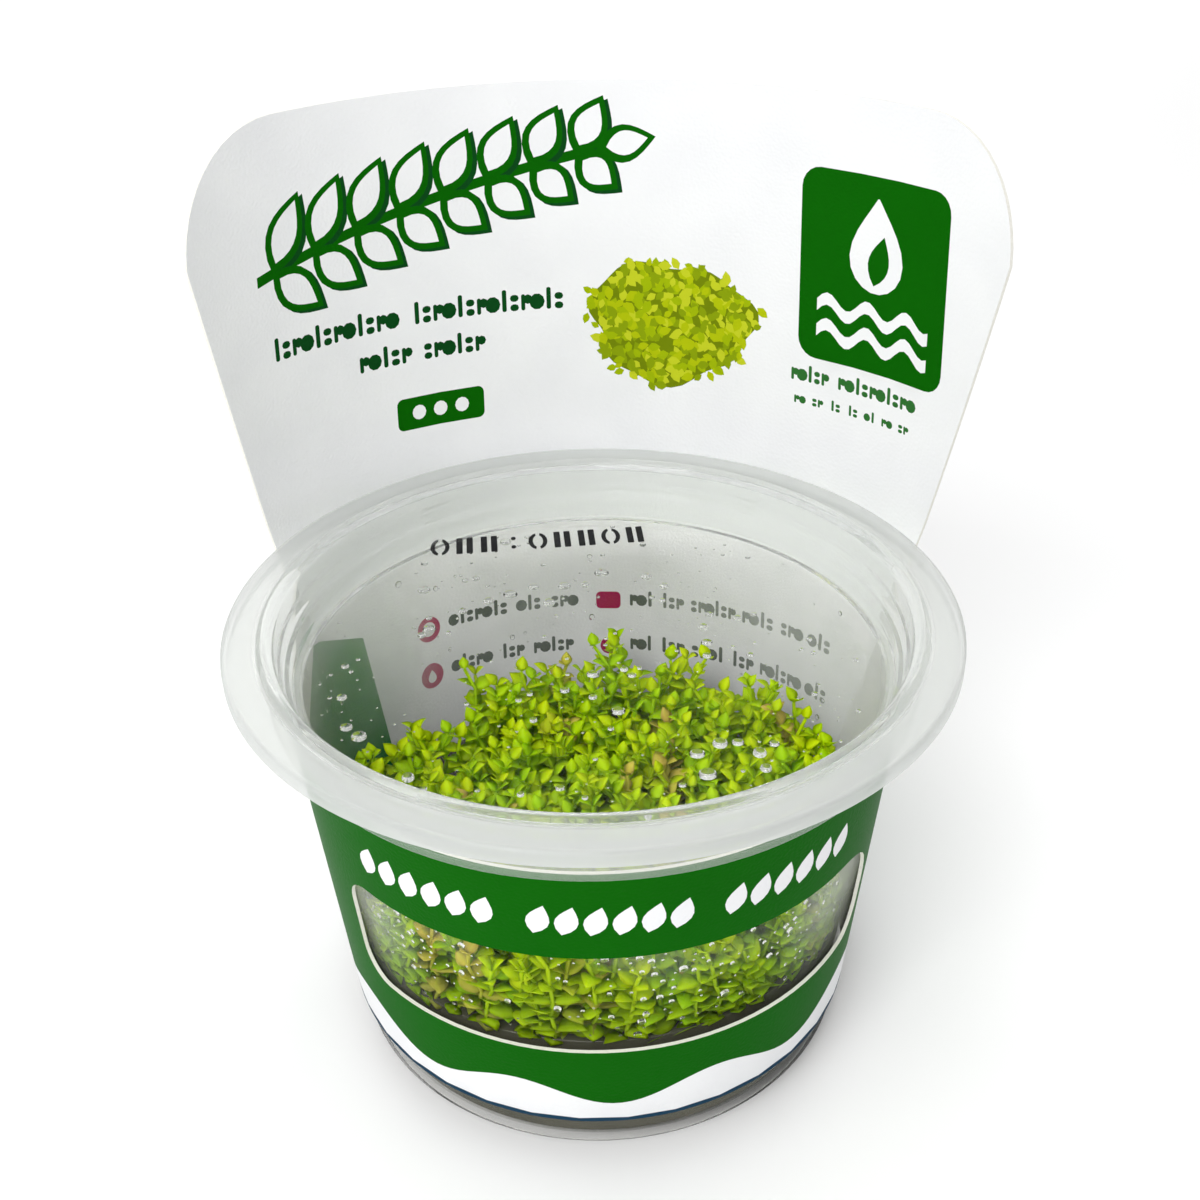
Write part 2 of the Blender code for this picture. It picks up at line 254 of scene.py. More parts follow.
# %% Make the studio
LAMPS = {
    # name: (place, point it shines at, side lengths, all in millimetres, and watts)
    "lamp_top": ((0, 200, 600), (0, 0, 50), (700, 500), 1.5),
    "lamp_left": ((-480, -230, 260), (0, 20, 80), (260, 300), 0.4),
    "lamp_front": ((-150, -340, 480), (0, 20, 50), (300, 240), 1.8),
    "lamp_low": ((-30, -260, 40), (0, -40, 12), (420, 60), 0.09),
    "lamp_paper": ((0, 1000, 600), (0, 900, 0), (1400, 700), 5.0),
}
FILL = 0.46
FLOOR_WHITE = (0.93, 0.93, 0.93)
FLOOR_REACH = 3000


def make_studio():
    scene = bpy.context.scene
    scene.view_settings.view_transform = "Standard"
    world = bpy.data.worlds.new("studio")
    scene.world = world
    world.use_nodes = True
    world.node_tree.nodes["Background"].inputs["Color"].default_value = (1.0, 1.0, 1.0, 1)
    world.node_tree.nodes["Background"].inputs["Strength"].default_value = FILL
    for name, (place, target, sides, watts) in LAMPS.items():
        data = bpy.data.lights.new(name, "AREA")
        data.shape = "RECTANGLE"
        data.size, data.size_y = (side * MM for side in sides)
        data.energy = watts
        lamp = bpy.data.objects.new(name, data)
        lamp.location = Vector(place) * MM
        lamp.rotation_euler = (Vector(target) * MM - lamp.location).to_track_quat("-Z", "Y").to_euler()
        scene.collection.objects.link(lamp)
    mesh = bpy.data.meshes.new("floor")
    bm = bmesh.new()
    bmesh.ops.create_grid(bm, x_segments=4, y_segments=4, size=FLOOR_REACH * MM)
    bm.to_mesh(mesh)
    bm.free()
    look = Look("floor_paper")
    mesh.materials.append(look.finish(look.add("BsdfDiffuse", None, {"Color": FLOOR_WHITE})))
    floor = bpy.data.objects.new("floor", mesh)
    scene.collection.objects.link(floor)


make_studio()
print("lamps:", ", ".join(LAMPS))

# %% [markdown]
# Turned plastic.
# Both mouldings are bodies of revolution. Blender's Screw modifier turns a profile into one, and a real
# mould has no sharp corner, so each corner of the profile first gets a small arc. The profile runs down
# the outer side, which keeps the faces pointing outwards.


# %% Turn a rounded profile
def rounded(corners, steps=4):
    """The profile's points, with an arc in place of each corner given as (radius, height, rounding)."""
    points = [Vector(corner[:2]) for corner in corners]
    path = []
    for index, corner in enumerate(corners):
        here = points[index]
        rounding = corner[2] if len(corner) > 2 else 0
        if not rounding:
            path.append(here)
            continue
        back, ahead = points[index - 1] - here, points[index + 1] - here
        half = back.angle(ahead) / 2
        reach = min(rounding / math.tan(half), 0.45 * back.length, 0.45 * ahead.length)
        start, end = here + back.normalized() * reach, here + ahead.normalized() * reach
        for step in range(steps + 1):
            share = step / steps
            path.append(start.lerp(here, share).lerp(here.lerp(end, share), share))
    return path


def place_piece(name, mesh, node):
    """Put a finished mesh in the scene; where a node is named, it stands for that solid."""
    piece = bpy.data.objects.new(name, mesh)
    bpy.context.scene.collection.objects.link(piece)
    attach(piece, "root")
    if node:
        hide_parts(node)
    return piece


def baked(name, source):
    """A plain mesh of source with its modifiers worked in. The source object is removed."""
    graph = bpy.context.evaluated_depsgraph_get()
    evaluated = source.evaluated_get(graph)
    mesh = bpy.data.meshes.new_from_object(evaluated, preserve_all_data_layers=True, depsgraph=graph)
    mesh.name = name
    bpy.data.objects.remove(source)
    return mesh


def turned_mesh(name, corners, sharp=50):
    mesh = bpy.data.meshes.new(name + "_profile")
    path = rounded(corners)
    mesh.from_pydata([(p.x * MM, 0, p.y * MM) for p in path], [(i, i + 1) for i in range(len(path) - 1)], [])
    source = bpy.data.objects.new(name + "_profile", mesh)
    bpy.context.scene.collection.objects.link(source)
    turn = source.modifiers.new("turn", "SCREW")
    turn.steps = turn.render_steps = TURN_STEPS
    turn.use_merge_vertices = True
    turn.merge_threshold = 0.00001
    done = baked(name, source)
    done.shade_smooth()
    done.set_sharp_from_angle(angle=math.radians(sharp))
    print(name, "has", len(done.polygons), "faces")
    return done


# %% [markdown]
# The clear plastic.
# Polypropylene is clear where it is thin and milky where it is thick. Most of it is a film here: light
# goes straight through, apart from a little gloss. A milky finish is mixed in by place, from a glossy
# surface and a Translucent part: much on the flange and the rim, some on the neck and the steps, and more
# where the sheet is seen edge-on, because the eye then looks through a longer way of plastic. The steps
# and the bead of the lid and the cup's thick base bend light like glass. For rays from the lamps the
# plastic is nearly open, so that the plants inside get their light without noisy caustics.


# %% Mix clear and milky plastic
MILK = (0.66, 0.675, 0.67)
MILK_THROUGH = (0.76, 0.775, 0.76)
FILM = (0.997, 0.997, 0.991)
FILM_SHINE = 0.006
EDGE_ON_MILK = 0.3
SHEET_IOR = 1.2  # a sheet's two faces cancel most of the bending
LAMP_PASS = (0.99, 0.99, 0.99)
STEPS_FROM = (40.0, 40.6)
STEPS_TO = (45.8, 45.2)
FLOOR_MILK = 0.06
STEP_MILK = 0.8
STEP_GLASS = 0.78
STEP_COLOUR = (0.93, 0.94, 0.93)
BASE_COLOUR = (0.55, 0.55, 0.53)
FLANGE_MILK = 0.42
RIM_MILK = 0.2
WALL_MILK = 0.09
END_MILK = 0.2
NECK_MILK = 0.16


def plastic(name, milk, glassy, glass_colour):
    """Clear plastic; milk and glassy give the shares of milky and of light-bending plastic by place."""
    look = Look(name)
    where = look.place()
    ripple = look.bump(look.noise(where, 0.12, 0.0), 0.12, 0.001)
    smear = look.noise(where, 0.35, 0.0).between(0.45, 0.75)
    skin = look.add("BsdfPrincipled", None, {"Base Color": MILK, "Roughness": 0.2})
    glow = look.add("BsdfTranslucent", None, {"Color": MILK_THROUGH})
    milky = look.add("MixShader", None, {0: 0.5, 1: skin, 2: glow})
    through = look.add("BsdfTransparent", None, {"Color": FILM})
    shine = look.add("BsdfGlossy", None, {"Color": (1, 1, 1), "Roughness": 0.06})
    clear = look.add("MixShader", None, {0: FILM_SHINE, 1: through, 2: shine})
    edge_on = look.add("LayerWeight", None, {"Blend": 0.5}, "Facing").between(0.55, 1.0)
    body = look.add("MixShader", None, {0: milk(look, where) + edge_on * EDGE_ON_MILK, 1: clear, 2: milky})
    sockets = {"Base Color": glass_colour, "Roughness": smear * 0.03 + 0.02, "IOR": SHEET_IOR}
    sockets |= {"Specular IOR Level": 0.15, "Transmission Weight": 1.0, "Normal": ripple}
    glass = look.add("BsdfPrincipled", None, sockets)
    body = look.add("MixShader", None, {0: glassy(look, where), 1: body, 2: glass})
    open_air = look.add("BsdfTransparent", None, {"Color": LAMP_PASS})
    lamp_ray = look.add("LightPath", out="Is Shadow Ray")
    return look.finish(look.add("MixShader", None, {0: lamp_ray, 1: body, 2: open_air}))


def part_of(look, where, axis):
    """One coordinate of a place; axis is X, Y or Z."""
    return look.add("SeparateXYZ", None, {"Vector": where}, axis)


def lid_steps(look, where):
    """1 on the steps of the well and on the bead."""
    radius = look.from_axis(where)
    return radius.between(*STEPS_FROM) * radius.between(*STEPS_TO)


def lid_milk(look, where):
    """Condensation under the floor's back half, then the steps, the bead, the flange and the rim."""
    radius = look.from_axis(where)
    back = part_of(look, where, "Y").between(-2.0, 16.0)
    clouds = look.noise(where, 0.05, 0.0).between(0.46, 0.7) * back * FLOOR_MILK
    flange = radius.between(45.0, 46.2) * FLANGE_MILK + radius.between(49.1, 49.7) * RIM_MILK
    return clouds * radius.between(40.4, 39.4) + lid_steps(look, where) * STEP_MILK + flange


def cup_milk(look, where):
    """Condensation on the upper wall and at the window's two ends, and the neck with its rim."""
    ends = part_of(look, where, "X").math("ABSOLUTE").between(22.0, 31.0)
    patches = look.noise(where, 0.07, 0.0).between(0.42, 0.66)
    height = part_of(look, where, "Z")
    neck = height.between(54.7, 55.3)
    wall = height.between(29.0, 42.0) * patches * WALL_MILK + ends * height.between(23.0, 33.0) * END_MILK
    return wall * (1 - neck) + neck * NECK_MILK


def lid_glass(look, where):
    return lid_steps(look, where) * STEP_GLASS


def cup_glass(look, where):
    return part_of(look, where, "Z").between(1.5, 0.7)


lid_plastic = plastic("lid_plastic", lid_milk, lid_glass, STEP_COLOUR)
cup_plastic = plastic("cup_plastic", cup_milk, cup_glass, BASE_COLOUR)
print("plastics:", lid_plastic.name, cup_plastic.name)

# %% [markdown]
# The cup.
# Its wall tapers so that it leaves the mould, a wider neck takes the lid's plug, and a rim flange carries
# the lid. Fine ribs round the neck grip the lid. The profile starts at the middle of the inner floor,
# climbs the inside, and comes down the outside.

# %% Make the cup
NECK_RIBS = (56.9, 58.3, 59.7)
RIB_DEPTH = 0.28
RIB_HEIGHT = 0.35
RIB_ROUNDING = 0.12
CUP_FLOOR_Z = 1.0
CORNER_Z = (0.9, 1.8)  # of the base corner's outside and inside


def neck_radius(z):
    low, high = NECK_RADIUS
    return low + (high - low) * (z - SHOULDER_Z) / (CUP_RIM_Z[0] - SHOULDER_Z)


def cup_profile():
    inner_shoulder = SHOULDER_Z + WALL
    inner = [
        (0, CUP_FLOOR_Z),
        (BASE_RADIUS - 1.3, CUP_FLOOR_Z, 0.5),
        (body_radius(CORNER_Z[1]) - WALL, CORNER_Z[1], 0.5),
        (body_radius(inner_shoulder) - WALL, inner_shoulder, 0.35),
        (NECK_RADIUS[0] - WALL, inner_shoulder, 0.5),
        (NECK_RADIUS[1] - WALL, CUP_RIM_Z[1], 0.35),
    ]
    outer = [
        (CUP_RIM_RADIUS, CUP_RIM_Z[1], 0.45),
        (CUP_RIM_RADIUS, CUP_RIM_Z[0], 0.45),
        (NECK_RADIUS[1], CUP_RIM_Z[0], 0.4),
    ]
    for rib in reversed(NECK_RIBS):
        outer += [
            (neck_radius(rib), rib + RIB_HEIGHT, RIB_ROUNDING),
            (neck_radius(rib) + RIB_DEPTH, rib, RIB_ROUNDING),
            (neck_radius(rib), rib - RIB_HEIGHT, RIB_ROUNDING),
        ]
    outer += [
        (NECK_RADIUS[0], SHOULDER_Z, 0.45),
        (BODY_TOP_RADIUS, SHOULDER_Z, 0.3),
        (body_radius(CORNER_Z[0]), CORNER_Z[0], 0.7),
        (BASE_RADIUS - 0.7, 0, 0.5),
        (0, 0),
    ]
    return inner + outer


cup = place_piece("clear_cup", turned_mesh("clear_cup", cup_profile()), "cup")
cup.data.materials.append(cup_plastic)

# %% [markdown]
# The lid.
# It drops into the neck as a shallow pan, so that a second cup can stand in it. Small steps in the wall
# of the pan stop stacked lids from jamming, and a rounded bead stands up where the pan meets the flange.
# The underside follows the top at one sheet's thickness.

# %% Make the lid
BEAD_RADIUS = 44.3
BEAD_HEIGHT = 0.7
LID_PLAY = 0.3  # between the lid and the cup's rim
WELL_STEPS = (
    # out from the floor's edge, up from the floor, and the corner's rounding, in millimetres
    (-1.9, 0.0, 0.3),
    (-1.5, 0.25, 0.3),
    (0.0, 0.25, 0.3),
    (0.8, 0.8, 0.5),
    (1.0, 2.4, 0.3),
    (1.7, 2.8, 0.3),
    (1.9, 4.6, 0.3),
    (2.3, 4.9, 0.3),
)


def lid_profile():
    floor_edge = WELL_FLOOR_RADIUS
    under_flange = CUP_RIM_Z[1] + LID_PLAY
    top = [(0, WELL_FLOOR_Z)]
    top += [(floor_edge + out, WELL_FLOOR_Z + up, rounding) for out, up, rounding in WELL_STEPS]
    top += [
        (floor_edge + 2.5, LID_TOP_Z - 0.5, 0.5),
        (BEAD_RADIUS - 0.4, LID_TOP_Z + BEAD_HEIGHT, 0.7),
        (BEAD_RADIUS + 0.4, LID_TOP_Z + BEAD_HEIGHT, 0.7),
        (BEAD_RADIUS + 1.1, LID_TOP_Z, 0.5),
        (LID_RADIUS, LID_TOP_Z, 0.6),
        (LID_RADIUS, LID_SKIRT_Z, 0.25),
    ]
    under = [
        (CUP_RIM_RADIUS + LID_PLAY, LID_SKIRT_Z, 0.1),
        (CUP_RIM_RADIUS + LID_PLAY, under_flange, 0.3),
        (floor_edge + 2.5 + LID_SHEET, under_flange, 0.3),
        (floor_edge + 1.8 + LID_SHEET, WELL_FLOOR_Z + 2.9, 0.4),
        (floor_edge + 1.0 + LID_SHEET, WELL_FLOOR_Z + 2.4, 0.4),
        (floor_edge + 0.9, WELL_FLOOR_Z - LID_SHEET, 0.8),
        (0, WELL_FLOOR_Z - LID_SHEET),
    ]
    return top + under


lid = place_piece("clear_lid", turned_mesh("clear_lid", lid_profile()), "lid")
lid.data.materials.append(lid_plastic)

# %% [markdown]
# The growing gel.
# The plants are fed by a set gel that fills the cup's bottom and creeps up the wall in a thin meniscus.
# It is cloudy, grey-green and wet. It stands for the solid plug and keeps its size.


# %% Make the gel
GEL_DARK = (0.07, 0.07, 0.05)
GEL_PALE = (0.14, 0.135, 0.10)
GEL_LOW_Z = 1.15
GEL_GAP = 0.3  # to the cup's wall
MENISCUS_RISE = 0.4


def make_gel():
    look = Look("set_gel")
    where = look.place()
    cloud = look.noise(where, 0.08, 1.0)
    shader = look.add(
        "BsdfPrincipled",
        None,
        {
            "Base Color": look.mix(cloud, GEL_DARK, GEL_PALE),
            "Roughness": look.noise(where, 0.5).between(0.2, 0.8) * 0.12 + 0.06,
            "IOR": 1.34,
            "Transmission Weight": 0.2,
            "Normal": look.bump(look.noise(where, 0.25, 1.0), 0.3, 0.001),
        },
    )
    low, inside = GEL_LOW_Z, WALL + GEL_GAP
    at_top = body_radius(GEL_TOP_Z) - inside - 0.5
    profile = [
        (0, GEL_TOP_Z),
        (at_top - 2.0, GEL_TOP_Z, 1.5),
        (at_top, GEL_TOP_Z + MENISCUS_RISE, 0.2),
        (body_radius(GEL_TOP_Z - 2.0) - inside, GEL_TOP_Z - 2.0, 0.5),
        (body_radius(low + 0.8) - inside, low + 0.8, 0.5),
        (BASE_RADIUS - 1.7, low, 0.4),
        (0, low),
    ]
    gel = place_piece("set_gel", turned_mesh("set_gel", profile), "growing_gel")
    gel.data.materials.append(look.finish(shader))


make_gel()

# %% [markdown]
# The card, as a flat blank.
# A printer makes this sleeve as one flat sheet: the ink goes on first, then a die cuts the outline and
# the window, and at last the sheet is folded round the cup. The same order works here. Shapes are drawn
# on a flat blank in millimetres, a constrained Delaunay triangulation cuts the blank along every outline,
# each triangle takes the colour of the topmost shape over it, and only then every point is carried to its
# place round the cup.

# %% Bend a flat point round the cup
CARD = 0.5
CARD_BOTTOM_Z = 6.6
STRIP_TOP_Z = 55.0
CARD_TOP_Z = 120.8
CARD_CORNER = 17.0
PANEL_BACK_Y = 50.6
PANEL_BACK_Z = 63.0
PANEL_LEAN = 0.2095
PANEL_BOW = (38.9, 62.0, 64.6)
PANEL_HALF_WIDTH = 57.0
PANEL_WIDTH_Z = 61.0
PANEL_FLARE = 0.287
PANEL_SKEW = (1.2, 0.035)
STRIP_RADIUS = 41.0  # turns angles on the strip into millimetres on its blank
STRIP_GAP = 0.3  # to the cup's wall


def panel_bow(z):
    low, middle, high = PANEL_BOW
    if z < PANEL_BACK_Z:
        return low + (middle - low) * (z - CARD_BOTTOM_Z) / (PANEL_BACK_Z - CARD_BOTTOM_Z)
    return middle + (high - middle) * (z - PANEL_BACK_Z) / (CARD_TOP_Z - PANEL_BACK_Z)


def panel_half_width(z):
    width = PANEL_HALF_WIDTH + PANEL_FLARE * (z - PANEL_WIDTH_Z)
    above = z - (CARD_TOP_Z - CARD_CORNER)
    if above > 0:
        width += -PANEL_FLARE * above - CARD_CORNER + math.sqrt(max(0, CARD_CORNER**2 - above**2))
    return width


def panel_edge(side, z):
    """Where the panel's left (-1) or right (1) edge lies on its blank."""
    return side * panel_half_width(z) + PANEL_SKEW[0] + PANEL_SKEW[1] * (z - PANEL_WIDTH_Z)


def bend_panel(along, z):
    bow = panel_bow(z)
    back = PANEL_BACK_Y + PANEL_LEAN * (z - PANEL_BACK_Z)
    return Vector((bow * math.sin(along / bow), back - bow + bow * math.cos(along / bow), z)) * MM


def fold_turn(side, z):
    """Turn from the front, in radians, at which the strip meets the panel."""
    fold = bend_panel(panel_edge(side, z), z)
    return math.atan2(side * fold.x, -fold.y)


def bend_strip(along, z):
    side = -1 if along < 0 else 1
    fold = bend_panel(panel_edge(side, z), z) / MM
    radius = body_radius(z) + STRIP_GAP
    leaves_cup = fold_turn(side, z) - math.acos(radius / math.hypot(fold.x, fold.y))
    turn = abs(along) / STRIP_RADIUS
    reach = radius if turn <= leaves_cup else radius / math.cos(turn - leaves_cup)
    return Vector((side * reach * math.sin(turn), -reach * math.cos(turn), z)) * MM


print("fold at the strip's top:", round(math.degrees(fold_turn(1, STRIP_TOP_Z)), 1), "degrees from the front")

# %% [markdown]
# Shapes for the print.
# The print is made of plain shapes: lines of nonsense signs, simple leaves, drops and waves. Each
# function gives the outline of one shape as points in millimetres on the blank.

# %% Draw plain shapes
GREEN = (0.003, 0.110, 0.001)
DEEP_GREEN = (0.004, 0.060, 0.010)
SOFT_GREEN = (0.03, 0.15, 0.03)
CARD_WHITE = (0.86, 0.865, 0.875)
BOARD_GREY = (0.80, 0.80, 0.79)
SIGN_GREY = (0.13, 0.15, 0.13)
CRIMSON = (0.40, 0.02, 0.10)
# Dark blue along the card's lower edge: painted shadow of the gap under the card's cut edge.
EDGE_SHADOW_BLUE = (0.012, 0.045, 0.085)


def rounded_box(x, z, width, height, radius, steps=5):
    points = []
    for corner, (across, over) in enumerate(((1, 0), (1, 1), (0, 1), (0, 0))):
        middle = (x + (width - radius if across else radius), z + (height - radius if over else radius))
        for step in range(steps + 1):
            angle = math.radians(90 * (corner - 1) + 90 * step / steps)
            points.append((middle[0] + radius * math.cos(angle), middle[1] + radius * math.sin(angle)))
    return points


def leaf_shape(x, z, length, width, turn, steps=8):
    """A pointed oval that starts at (x, z) and runs along turn, in degrees."""
    points = []
    angle = math.radians(turn)
    for side in (1, -1):
        for step in range(steps):
            share = step / steps if side > 0 else 1 - step / steps
            across = side * width / 2 * math.sin(math.pi * share**0.85)
            along = length * share
            points.append(
                (
                    x + along * math.cos(angle) - across * math.sin(angle),
                    z + along * math.sin(angle) + across * math.cos(angle),
                )
            )
    return points


def ring_shape(x, z, radius, steps=24):
    return [
        (x + radius * math.cos(math.tau * step / steps), z + radius * math.sin(math.tau * step / steps))
        for step in range(steps)
    ]


def drop_shape(x, z, radius, height, steps=22):
    """A water drop that stands on its round end."""
    points = []
    for step in range(steps):
        angle = math.tau * step / steps
        taper = 0.5 + 0.5 * math.sin(angle)
        reach = radius * math.cos(angle) * (1 - taper**2 * 0.85)
        points.append((x + reach, z + height * (0.5 + 0.5 * math.sin(angle))))
    return points


def ribbon(path, half):
    """A band of even width along a path of points."""
    upper = [(x, z + half) for x, z in path]
    lower = [(x, z - half) for x, z in reversed(path)]
    return upper + lower


def sign_line(x, z, lengths, height, gap, ink):
    """A line of nonsense print: rows of small dots and strokes, each shape with its ink."""
    shapes = []
    for length in lengths:
        count = max(2, round(length / (0.72 * height)))
        pitch = length / count
        for index in range(count):
            left = x + pitch * index
            kind = (index * 5 + round(x + 60)) % 4
            if kind == 0:
                left += 0.28 * pitch
                shapes.append(rounded_box(left, z, 0.4 * pitch, height * 1.35, 0.15 * pitch, 2))
            elif kind == 1:
                for low in (z, z + height * 0.58):
                    shapes.append(rounded_box(left, low, 0.78 * pitch, height * 0.42, 0.2 * height, 2))
            elif kind == 2:
                shapes.append(rounded_box(left, z, 0.36 * pitch, height, 0.15 * pitch, 2))
                shapes.append(ring_shape(left + 0.6 * pitch, z + height * 0.68, height * 0.3, 8))
            else:
                shapes.append(ring_shape(left + 0.42 * pitch, z + height / 2, height * 0.5, 10))
        x += length + gap
    return [(shape, ink) for shape in shapes]


print("ten millimetres of signs have", len(sign_line(0, 0, (10,), 2, 1, GREEN)), "shapes")

# %% [markdown]
# The header's print.
# Upper left stands a rising twig of outlined leaves, below it two lines of signs and a small green tab. A
# printed tuft of the plant sits in the middle, and a green tile with a drop over two waves stands at the
# right, with a caption below. The order in the list is the order of printing: later shapes cover earlier
# ones.

# %% Lay out the header
TWIG = ((-54.0, 98.8), (3.0, 111.0))
TWIG_LEAVES = 8
TWIG_HALF = 0.75
TWIG_SPREAD = 50  # degrees between the twig and its leaves
TUFT_CENTRE = (13.6, 85.0)
TUFT_SIZE = (13.4, 9.6)
TUFT_LEAVES = 430
TUFT_SHADE = (0.16, 0.22, 0.003)
TUFT_GREENS = ((0.42, 0.50, 0.004), (0.33, 0.44, 0.003), (0.24, 0.33, 0.004), (0.52, 0.58, 0.02))
TILE = (34.6, 82.4, 25.6, 28.0)
TILE_WAVES = (8.2, 4.4)
SMALL_TAB = (-31.7, 70.9, 14.6, 5.0, 1.0)
HEADER_LINES = (
    # left end, foot, lengths of the signs, their height, the gap between them, and the ink
    (-52.5, 87.0, (22.0, 25.0), 2.5, 2.2, DEEP_GREEN),
    (-37.5, 81.4, (9.0, 10.2), 2.4, 1.9, DEEP_GREEN),
)
TILE_CAPTION = (
    (33.6, 78.5, (6.5, 14.0), 1.9, 1.6, SOFT_GREEN),
    (34.2, 75.0, (2.0,) * 7, 1.2, 1.1, SOFT_GREEN),
)


def twig_print():
    (x0, z0), (x1, z1) = TWIG
    slope = math.degrees(math.atan2(z1 - z0, x1 - x0))
    inks = [(ribbon([(x0, z0), (x1, z1)], TWIG_HALF), GREEN)]
    for index in range(TWIG_LEAVES):
        share = (index + 0.4) / TWIG_LEAVES
        x, z = x0 + (x1 - x0) * share, z0 + (z1 - z0) * share
        for side in (1, -1):
            turn = slope + side * TWIG_SPREAD
            lean = math.radians(turn)
            length = 11.0 - 2.5 * share - (1.2 if side < 0 else 0)
            inks.append((leaf_shape(x + 0.7, z - 0.5, length + 0.9, 6.2, turn), DEEP_GREEN))
            inks.append((leaf_shape(x, z, length + 0.9, 6.2, turn), GREEN))
            hollow = leaf_shape(x + 1.5 * math.cos(lean), z + 1.5 * math.sin(lean), length - 1.9, 4.1, turn)
            inks.append((hollow, CARD_WHITE))
    inks.append((leaf_shape(x1 - 1.0, z1 - 0.3, 9.5, 5.6, slope), GREEN))
    inks.append((leaf_shape(x1 + 0.6, z1 + 0.1, 6.6, 3.6, slope), CARD_WHITE))
    return inks


def tuft_print():
    """A printed tuft: small leaves crowded into a lumpy patch."""
    rng = random.Random(11)

    def spot(turn, reach):
        lump = 1 + 0.09 * math.sin(3 * turn + 0.6) + 0.05 * math.sin(7 * turn)
        x = TUFT_CENTRE[0] + TUFT_SIZE[0] * reach * lump * math.cos(turn)
        return x, TUFT_CENTRE[1] + TUFT_SIZE[1] * reach * lump * math.sin(turn)

    inks = [([spot(math.tau * step / 48, 0.97) for step in range(48)], TUFT_SHADE)]
    for _ in range(TUFT_LEAVES):
        x, z = spot(rng.uniform(0, math.tau), math.sqrt(rng.random()))
        size = rng.uniform(1.5, 2.4)
        inks.append((leaf_shape(x, z, size, size * 0.66, rng.uniform(0, 360), 3), rng.choice(TUFT_GREENS)))
    return inks


def tile_print():
    x, z, width, height = TILE
    inks = [(rounded_box(x, z, width, height, 3.0), GREEN)]
    inks.append((drop_shape(x + width * 0.5, z + 11.5, 5.4, 13.5), CARD_WHITE))
    inks.append((leaf_shape(x + width * 0.5 - 0.3, z + 12.6, 7.4, 3.6, 78), GREEN))
    for level in TILE_WAVES:
        path = [
            (x + 3 + step * (width - 6) / 24, z + level + 1.1 * math.sin(step * 0.75))
            for step in range(25)
        ]
        inks.append((ribbon(path, 0.9), CARD_WHITE))
    return inks


def header_print():
    inks = twig_print()
    for line in HEADER_LINES:
        inks += sign_line(*line)
    inks.append((rounded_box(*SMALL_TAB), GREEN))
    inks += [(ring_shape(-28.0 + 3.6 * step, 73.4, 1.15, 12), CARD_WHITE) for step in range(3)]
    inks += tuft_print()
    inks += tile_print()
    for line in TILE_CAPTION:
        inks += sign_line(*line)
    return inks


print("header shapes:", len(header_print()))

# %% [markdown]
# The rest of the print.
# Inside, the panel behind the cup carries two rows of signs with small crimson marks, which show through
# the clear wall; a green tab lies at the left fold. Outside, the strip is green with a row of white leaf
# marks, and a wavy edge gives way to white near the bottom. A thin dark blue band along the lower edge is
# painted shadow, for the gap under the card's cut edge.

# %% Lay out the strip and the inside
WAVE_Z = 12.6
WAVE_SWING = 2.0
WAVE_DEGREES = 40.8
WAVE_CREST = -17.5
# Top of the painted shadow band along the card's lower edge.
EDGE_SHADOW_Z = 7.3
TAB_Z = (14.0, 44.0)
TAB_GREEN = (0.004, 0.20, 0.02)
BLANK_REACH = 110.0  # further than any blank goes to the side
FOOT_CORNERS = [(BLANK_REACH, CARD_BOTTOM_Z - 1), (-BLANK_REACH, CARD_BOTTOM_Z - 1)]
MARK_ROW_Z = 46.9
MARK_TURNS = (-44.0, 48.0)
MARK_GROUPS = (6, 6, 6)
INSIDE_ROWS = (
    # height, and the lengths of the signs left and right of the middle
    (37.6, (10.5, 4.2, 4.6), (4.2, 4.0, 8.0, 6.0, 4.2, 4.6)),
    (29.7, (7.2, 4.2, 7.0), (4.0, 4.4, 6.0, 4.2, 8.0, 4.4)),
)
ROW_MARK_X = -29.0
MIDDLE_BOX = (0.6, 36.6, 4.2, 3.0, 0.8)
MIDDLE_RING = (2.7, 29.9, 1.5)


def wave_z(along):
    turn = math.degrees(along / STRIP_RADIUS)
    return WAVE_Z + WAVE_SWING * math.cos(math.tau * (turn - WAVE_CREST) / WAVE_DEGREES)


def white_foot():
    """The white field under the strip's wave."""
    places = [BLANK_REACH * (step / 80 - 1) for step in range(161)]
    return [(x, wave_z(x)) for x in places] + FOOT_CORNERS


def fold_wave_z(side):
    """Where the wave crosses a fold."""
    return wave_z(side * fold_turn(side, WAVE_Z) * STRIP_RADIUS)


def back_foot():
    """The white field on the panel's back, which takes up the wave at both folds."""
    left, right = fold_wave_z(-1), fold_wave_z(1)
    x0, x1 = panel_edge(-1, left), panel_edge(1, right)
    path = [(-BLANK_REACH, left)]
    for step in range(49):
        share = step / 48
        swing = WAVE_SWING * math.sin(math.tau * 2 * share)
        path.append((x0 + (x1 - x0) * share, left + (right - left) * share + swing))
    return path + [(BLANK_REACH, right)] + FOOT_CORNERS


# Painted shadow: a dark blue band along the card's lower edge, for the gap under it.
def edge_shadow_band():
    return [(-BLANK_REACH, EDGE_SHADOW_Z), (BLANK_REACH, EDGE_SHADOW_Z)] + FOOT_CORNERS


def mark_row():
    """White leaf marks in three groups along the green band."""
    inks = []
    count = sum(MARK_GROUPS) + len(MARK_GROUPS) - 1
    pitch = (MARK_TURNS[1] - MARK_TURNS[0]) / (count - 1)
    slot = 0
    for group in MARK_GROUPS:
        for index in range(group):
            x = math.radians(MARK_TURNS[0] + pitch * slot) * STRIP_RADIUS
            inks.append((leaf_shape(x - 0.8, MARK_ROW_Z - 2.6, 5.2, 2.9, 74, 6), CARD_WHITE))
            slot += 1
        slot += 1
    return inks


